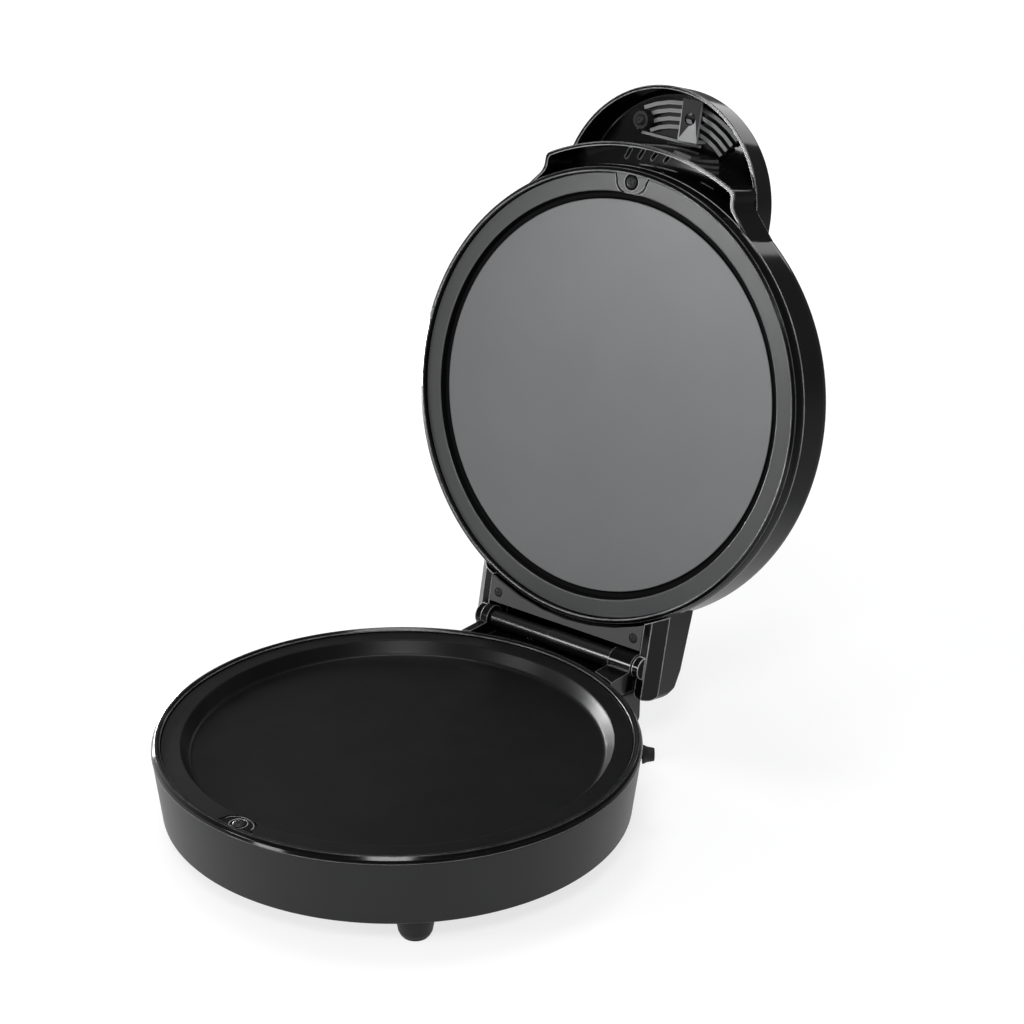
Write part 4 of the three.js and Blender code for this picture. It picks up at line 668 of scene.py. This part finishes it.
def band_solid(name, inset, under, lip):
    """Band and handle: inset draws its walls and top in, and lip rounds or flares its lower edge."""
    stations = [(BAND_START + (HANDLE_CENTRE - BAND_START) * i / 20, math.pi / 2) for i in range(20)]
    stations += [(HANDLE_CENTRE, math.pi / 2 * (1 - i / 48.5)) for i in range(49)]
    curve = [math.pi / 2 * i / 6 for i in range(7)]
    rounding = max(1.2, 4 - inset / 2)
    levels = []
    for reach, angle in stations:
        row = []
        for step in range(4):
            share = math.pi / 2 * step / 3
            row.append((lip * (1 - math.sin(share)), under + abs(lip) * (1 - math.cos(share)), None))
        row += [(1.7 + rounding * (1 - math.cos(a)), None, rounding * (1 - math.sin(a))) for a in curve]
        points = []
        for drawn, height, fall in row:
            radius = BAND_HALF - inset - drawn
            forward = reach + radius * math.cos(angle)
            points.append((radius * math.sin(angle), -forward,
                           height if fall is None else band_top(forward) - inset - fall))
        levels.append(points + [(-x, y, z) for x, y, z in reversed(points)])
    return stacked(name, levels, ON_LID)


def shoulder_outline(inset):
    half = 83.5 - inset
    radius = SHOULDER_RADIUS - inset
    reach = math.asin((half - 6) / radius)
    arc = [(radius * math.sin(reach * i / 20), -radius * math.cos(reach * i / 20)) for i in range(-20, 21)]
    corner = radius * math.cos(math.asin(half / radius))
    flare = math.sqrt(LID_RADIUS ** 2 - 97.5 ** 2)
    right = [(half, -corner, 9.0), (half, -flare - 16, 14.0), (104 - inset, 6 - flare), (104 - inset, -110)]
    left = [(-point[0], *point[1:]) for point in reversed(right)]
    return fillet([*left, *arc, *right], steps=6)


def crown_profile(radius, drop):
    """Rounded top of the drum, from its wall inwards."""
    shares = [(0.9905, 0.16), (0.982, 0.36), (0.965, 0.505), (0.93, 0.615), (0.88, 0.695), (0.8, 0.775),
              (0.7, 0.845), (0.58, 0.9), (0.45, 0.945), (0.3, 0.975), (0.15, 0.993), (0, 1)]
    return [(radius * across, DRUM_TOP - drop + 14.1 * rise) for across, rise in shares]


drum_wall = fillet([
    (PLATE_RADIUS, 11.0), (LID_RADIUS, 11.0, 0.3), (168.4, 36), (168.3, DRUM_TOP)], closed=False)
drum = turned("lid_shell_moulding", [
    (0, 8.1), (PLATE_RADIUS, 8.1), (PLATE_RADIUS, 11.0), *drum_wall[1:], *crown_profile(LID_RADIUS, 0)], ON_LID)
cavity = turned("cavity", [
    (0, 7), (SEAT_RADIUS, 7), (SEAT_RADIUS, 11.0), (160.8, 13.5), (166.0, 13.5), (165.5, 38.1),
    *crown_profile(165.2, 2.8)], ON_LID, 96)
clearance = turned("clearance", [
    (0, -2), (169.1, -2), (169.1, 11.0), (167.4, 11.0), (166.9, DRUM_TOP), (166.9, 45.6), (0, 45.6)], ON_LID)

band = band_solid("band", 0, BAND_UNDER, HEM)
shoulder = slab("shoulder", shoulder_outline(0), 11.0, 41.2, ON_LID, 0.9, 0.2)
block_side = [(BLOCK_FRONT, 9), (204, 9, 1.2), (207.5, 13, 2.0), (207.5, 22, 3.0), *BLOCK_CROWN]
block = slab("block", fillet(block_side, steps=6), -CHEEK_INNER, CHEEK_INNER, ON_LID @ ALONG_X, 0.1, 0.1)


def cheek(mirror):
    """Side of the hinge block, with its rounded foot, the pocket inside it and the lug around the pin."""
    place = ON_LID @ Matrix.Scale(mirror, 4, (1, 0, 0))
    on_axis = moved(place, 0, HINGE_REACH) @ ALONG_X
    side = slab("cheek", fillet([
        (BLOCK_FRONT, 0), (210.5, 0, 1.0), (210.5, 14, 3.0), (207.5, 22, 4.0), *BLOCK_CROWN], steps=6),
        CHEEK_INNER, BAND_HALF, place @ ALONG_X, 0.4, 1.6)
    plan = slab("plan", fillet([
        (CHEEK_INNER, BLOCK_FRONT), (BAND_HALF, BLOCK_FRONT), (BAND_HALF, 210.5, 6.5),
        (CHEEK_INNER, 210.5, 5.0)], steps=8), -1, 42, place, 0.1, 0.1)
    body = common(side, plan)
    slope = stacked("slope", [
        [(75.2, y, -2), (90, y, -2), (90, y, 11.7)] for y in (BLOCK_FRONT - 2, 212)], place)
    body = rounded_edges(cut(body, slope), 0.7, 40)
    pocket = slab("pocket", [
        (69, 171.6), (83.7, 171.6), (83.7, 201.9), (69, 201.9)], 11.8, 24.9, place, 0.2, 0.2)
    lug = rod(8, CHEEK_INNER, 76.1, on_axis, 48)
    web = slab("web", [
        (CHEEK_INNER, 178.5), (76.1, 178.5), (76.1, 194.5), (CHEEK_INNER, 194.5)], 0, 14.6, place, 0.2, 0.2)
    bore = rod(2.8, 69, 75.3, on_axis, 24)
    return cut(joined(cut(body, pocket), lug, web), bore)


outer = joined(band, shoulder, block, cheek(1), cheek(-1))
outer = cut(outer, clearance)

recess = cut(
    slab("recess", shoulder_outline(WALL), 10.5, 36.0, ON_LID, -HEM, 0.4),
    rod(168.9, 9, 60, ON_LID))
spine = common(band_solid("spine", WALL, 39, 0.1), rod(SHOULDER_RADIUS - WALL, 5, 100, ON_LID))
handle_hollow = cut(band_solid("hollow", WALL, 39.7, -HEM), rod(SHOULDER_RADIUS, 5, 100, ON_LID))
block_hollow = slab("block_hollow", [
    (BLOCK_FRONT, 8), (201.2, 8), (204.7, 13), (204.7, 22), (200.7, 27.7), (188.6, 32.4), (BLOCK_FRONT, 37.6)],
    -CHEEK_INNER, CHEEK_INNER, ON_LID @ ALONG_X, 0.05, 0.05)
mouth = slab("mouth", [
    (-CHEEK_INNER, 179), (CHEEK_INNER, 179), (CHEEK_INNER, 209), (-CHEEK_INNER, 209)],
    0, 14, ON_LID, 0.05, 0.05)
block_hollow = cut(joined(block_hollow, mouth), rod(LID_RADIUS, -5, 100, ON_LID))
rib_side = [(191.5, 9.3), (204, 9.3), (206, 14), (206, 22), (202, 29), (191.5, 34)]
ribs = [slab("rib", rib_side, x - 2, x + 2, ON_LID @ ALONG_X, 0.3, 0.3) for x in (-35, 35)]
boss_profile = fillet([(0, 2.8), (4.6, 2.8, 0.5), (4.6, 36), (0, 36)], closed=False)
bosses = [turned("boss", boss_profile, moved(ON_LID, x, SCREW_BOSS_REACH), 32)
          for x in (-SCREW_BOSS_HALF, SCREW_BOSS_HALF)]
shell = joined(cut(drum, cavity), outer)
shell = cut(shell, spine, recess, handle_hollow, block_hollow)
shell = joined(shell, *ribs, *bosses)
holes = [rod(4.5, 60, 67, moved(ON_LID, x, LAMP_REACH), 32) for x in (-LAMP_HALF, LAMP_HALF)]
vent_outline = fillet([(-4.5, -1.3, 1.25), (4.5, -1.3, 1.25), (4.5, 1.3, 1.25), (-4.5, 1.3, 1.25)])
vents = []
for i in range(4):
    angle = ((i - 1.5) * 11.6 - 10.2) / VENT_RADIUS - math.pi / 2
    slant = Matrix.Rotation(angle + math.radians(32), 4, "Z")
    vent_place = moved(ON_LID, *on_circle(VENT_RADIUS, angle)) @ slant
    vents.append(slab("vent", vent_outline, 35.4, 40, vent_place, -0.4, 0.1))
shell = cut(shell, *holes, *vents)
dressed(shell, gloss_black, "lid", "lid_shell", crease=32)

# Hinge: saddle, skirt and sleeves

dressed(softened("hinge_saddle", "hinge_saddle_moulding", 0.7), hinge_black, "base",
        "hinge_saddle")
dressed(softened("hinge_skirt", "hinge_skirt_moulding", 0.4), skirt_satin, "lid", "hinge_skirt")
for node, body, start, end, radius in (("hinge_sleeve_left", "lid", -63.4, -8.85, 6.1),
                                       ("hinge_sleeve_right", "base", -8.55, 49.4, 6.9)):
    profile = fillet([(2.8, start, 0.2), (radius, start, 0.5), (radius, end, 0.5), (2.8, end, 0.2)])
    tube = turned(f"{node}_tube", profile, moved(ON_BASE, 0, HINGE_REACH) @ ALONG_X, 64, ring=True)
    dressed(tube, barrel_black, body, node)

# Screws, the handle's pieces, bottom cover, pin and indicator lamps

CROSS_TURN = 0.5            # turn of the screws' crosses, in radians
CROSS_HALF = 0.36           # half the width of a cross's arm
BRACKET_HOLE = (13.3, -206)
HANDLE_BOSS = (-30.7, -198.7)


def cross_screw(name, place, head, height, length, body, node, metal=black_steel):
    """A pan-head screw with a cross recess; its head's underside lies at the place's zero."""
    screw = turned(name, fillet([
        (0, -length), (1.1, -length, 0.2), (1.5, 1.2 - length), (1.5, 0), (head, 0, 0.15),
        (head, 0.45 * height, 0.35 * height), (0.66 * head, height, 0.5 * height), (0, height)],
        closed=False), place, 40)
    arm = 0.56 * head
    blade = [(-arm, -CROSS_HALF), (arm, -CROSS_HALF), (arm, CROSS_HALF), (-arm, CROSS_HALF)]
    blades = [slab("blade", blade, 0.15 * height, height + 1, place @ Matrix.Rotation(angle, 4, "Z"), 0.15, 0.1)
              for angle in (CROSS_TURN, CROSS_TURN + math.pi / 2)]
    dressed(cut(screw, *blades), metal, body, node)


cross_screw("base_tab_screw", ON_BASE @ at_tab(-2.9), 4.2, 1.3, 9, "base", "lower_plate_screw")
cross_screw("lid_tab_screw", ON_LID @ at_tab(5.3) @ FACE_DOWN, 4.2, 1.3, 9, "lid", "upper_plate_screw")
for where, x in (("left", -SCREW_BOSS_HALF), ("right", SCREW_BOSS_HALF)):
    cross_screw(f"skirt_{where}_screw", moved(ON_LID, x, SCREW_BOSS_REACH, 1.2) @ FACE_DOWN, 3.6, 1.2, 9, "lid",
                f"hinge_skirt_screw_{where}")
cross_screw("boss_screw", moved(ON_LID, *HANDLE_BOSS, 49.7) @ FACE_DOWN, 4.0, 2.0, 9, "lid",
            "handle_boss_screw")
for i in range(1, 5):
    low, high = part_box(f"bottom_screw_{i}")
    middle = (low + high) / 2 / MM
    cross_screw(f"cover_screw_{i}", Matrix.Translation((middle.x, middle.y, low.z / MM + 2.0)) @ FACE_DOWN,
                3.2, 2.0, 10, "base", f"bottom_screw_{i}", zinc_steel)

handle_ribs = softened("handle_rib_insert", "handle_ribs_moulding", 0.35)
dressed(handle_ribs, inner_plastic, "lid", "handle_rib_insert")
rib_top = min((ON_LID.inverted() @ (corner.co / MM)).z for corner in handle_ribs.data.vertices)
# All of the insert above its ribs' edges takes matte black: painted shade between the ribs.
recoloured(handle_ribs, ((matte_black, lambda spot: spot.z > rib_top + 0.5),), ON_LID)
bracket = softened("handle_bracket", "handle_bracket_moulding", 0.35)
dressed(bracket, lit_bracket_plastic, "lid", "handle_bracket")
# The bracket's hole takes matte black: painted shade.
recoloured(bracket, ((matte_black, between_radii(-1, 4.75)),), moved(ON_LID, *BRACKET_HOLE))
boss = softened("handle_boss", "handle_boss_moulding", 0.35)
dressed(boss, inner_plastic, "lid", "handle_boss")
# The boss's middle around its screw takes matte black: painted shade.
recoloured(boss, ((matte_black, between_radii(-1, 9)),), moved(ON_LID, *HANDLE_BOSS))
dressed(softened("bottom_cover", "bottom_cover_moulding", 0.4), matte_black, "base",
        "bottom_cover")
dressed(softened("hinge_pin", "hinge_pin_bar", 0.3), zinc_steel, "base", "hinge_pin")

dome = [(4.2 * math.sin(a), 1.2 + 1.6 * math.cos(a)) for a in (math.pi / 2 * i / 8 for i in range(9))]
lamp_side = fillet([
    (0, -12), (4.2, -12, 0.4), (4.2, 0.1), (6, 0.1, 0.2), (6, 1.2, 0.5), (4.6, 1.2)], closed=False)
lamp_profile = [(0, -12), *lamp_side[1:], *reversed(dome)]
for node, x, lens, slot in (("power_lamp", -LAMP_HALF, red_lens, "red_lens"),
                            ("ready_lamp", LAMP_HALF, green_lens, "green_lens")):
    piece = turned(f"{node}_lens", lamp_profile, moved(ON_LID, x, LAMP_REACH, 65.7), 48)
    dressed(piece, lens, "lid", node)

# Floor, world and lamps, in metres

FLOOR_REACH = 6.0
FLOOR_GREY = (0.3, 0.3, 0.3, 1.0)
SKY_COLOUR = (0.95, 0.97, 1.0, 1.0)
SKY_STRENGTH = 0.35
PURE_WHITE = (1.0, 1.0, 1.0, 1.0)
REFLECTED_SIDE = (-0.99, 0.05, 0.1)     # the side whose white the gloss shows in full


def seen_by_camera_and_gloss(graph, gloss=1.0):
    """1 for rays of the camera and through glass, and gloss for reflections."""
    ray = graph.node("ShaderNodeLightPath").outputs
    return graph.maths("ADD", graph.maths("ADD", ray["Is Camera Ray"], ray["Is Transmission Ray"]),
                       graph.maths("MULTIPLY", ray["Is Glossy Ray"], gloss), True)


def pale_backdrop():
    """A pale floor that takes the shadow, and glows up to white where camera, metal and glass see it."""
    material = bpy.data.materials.new("pale floor")
    material.use_nodes = True
    tree = material.node_tree
    tree.nodes.clear()
    g = Graph(tree)
    place = g.node("ShaderNodeTexCoord").outputs["Object"]
    away = g.node("ShaderNodeVectorMath", {0: place}, operation="LENGTH").outputs["Value"]
    behind = g.node("ShaderNodeSeparateXYZ", {0: place}).outputs["Y"]
    glow = g.maths("MULTIPLY", g.spread(away, 0.5, 1.6, 0.74, 1.0),
                   seen_by_camera_and_gloss(g, g.spread(behind, 0.15, 0.45, 0.8, 0.03)))
    shader = g.node("ShaderNodeBsdfPrincipled", {
        "Base Color": FLOOR_GREY, "Roughness": 0.9, "Specular IOR Level": 0.0,
        "Emission Color": PURE_WHITE, "Emission Strength": glow})
    g.node("ShaderNodeOutputMaterial", {"Surface": shader.outputs[0]})
    return material


floor_mesh = bpy.data.meshes.new("floor")
floor_corners = [(FLOOR_REACH * x, FLOOR_REACH * y, 0) for x, y in ((-1, -1), (1, -1), (1, 1), (-1, 1))]
floor_mesh.from_pydata(floor_corners, [], [(0, 1, 2, 3)])
floor = bpy.data.objects.new("floor", floor_mesh)
bpy.context.scene.collection.objects.link(floor)
floor.data.materials.append(pale_backdrop())

world = bpy.data.worlds.new("studio")
bpy.context.scene.world = world
world.use_nodes = True
world.node_tree.nodes.clear()
sky = Graph(world.node_tree)
way = sky.node("ShaderNodeTexCoord").outputs["Generated"]
leftward = sky.node(
    "ShaderNodeVectorMath", {0: way, 1: REFLECTED_SIDE}, operation="DOT_PRODUCT").outputs["Value"]
height = sky.node("ShaderNodeSeparateXYZ", {0: way}).outputs["Z"]
dim = sky.maths("MULTIPLY", sky.spread(leftward, 0.62, 0.92, 0.14, 1.0),
                sky.spread(height, 0.12, 0.45, 1.0, 0.5))
camera_ray = sky.node("ShaderNodeLightPath").outputs["Is Camera Ray"]
light = sky.node("ShaderNodeBackground", {"Color": SKY_COLOUR, "Strength": SKY_STRENGTH})
white = sky.node("ShaderNodeBackground", {
    "Color": PURE_WHITE, "Strength": sky.maths("MAXIMUM", camera_ray, dim)})
mixed = sky.node("ShaderNodeMixShader", {
    0: seen_by_camera_and_gloss(sky), 1: light.outputs[0], 2: white.outputs[0]})
sky.node("ShaderNodeOutputWorld", {"Surface": mixed.outputs[0]})


def lamp(name, place, target, size, watts):
    data = bpy.data.lights.new(name, "AREA")
    data.shape = "RECTANGLE"
    data.size, data.size_y = size
    data.energy = watts
    made = bpy.data.objects.new(name, data)
    bpy.context.scene.collection.objects.link(made)
    made.location = place
    made.rotation_euler = (Vector(target) - Vector(place)).to_track_quat("-Z", "Y").to_euler()


# Each lamp's place, what it points at, its size and its watts
lamp("key lamp", (0.9, -1.3, 1.7), (0, 0.05, 0.2), (0.6, 0.6), 18)
lamp("front lamp", (-0.85, -1.5, 0.68), (0, 0, 0.25), (0.35, 0.35), 8)
lamp("low front lamp", (-0.3, -1.4, 0.12), (0, 0.1, 0.1), (0.3, 0.1), 1.5)
lamp("left lamp", (-0.95, 0.16, 0.1), (-0.17, -0.05, 0.04), (0.4, 0.16), 14)
lamp("back lamp", (-0.3, 2.15, 1.0), (0, 0, 0.3), (1.0, 0.6), 3.2)
lamp("top lamp", (-0.3, 0.1, 2.3), (0, 0, 0.2), (0.9, 0.6), 15)

bpy.context.scene.view_settings.view_transform = "Standard"
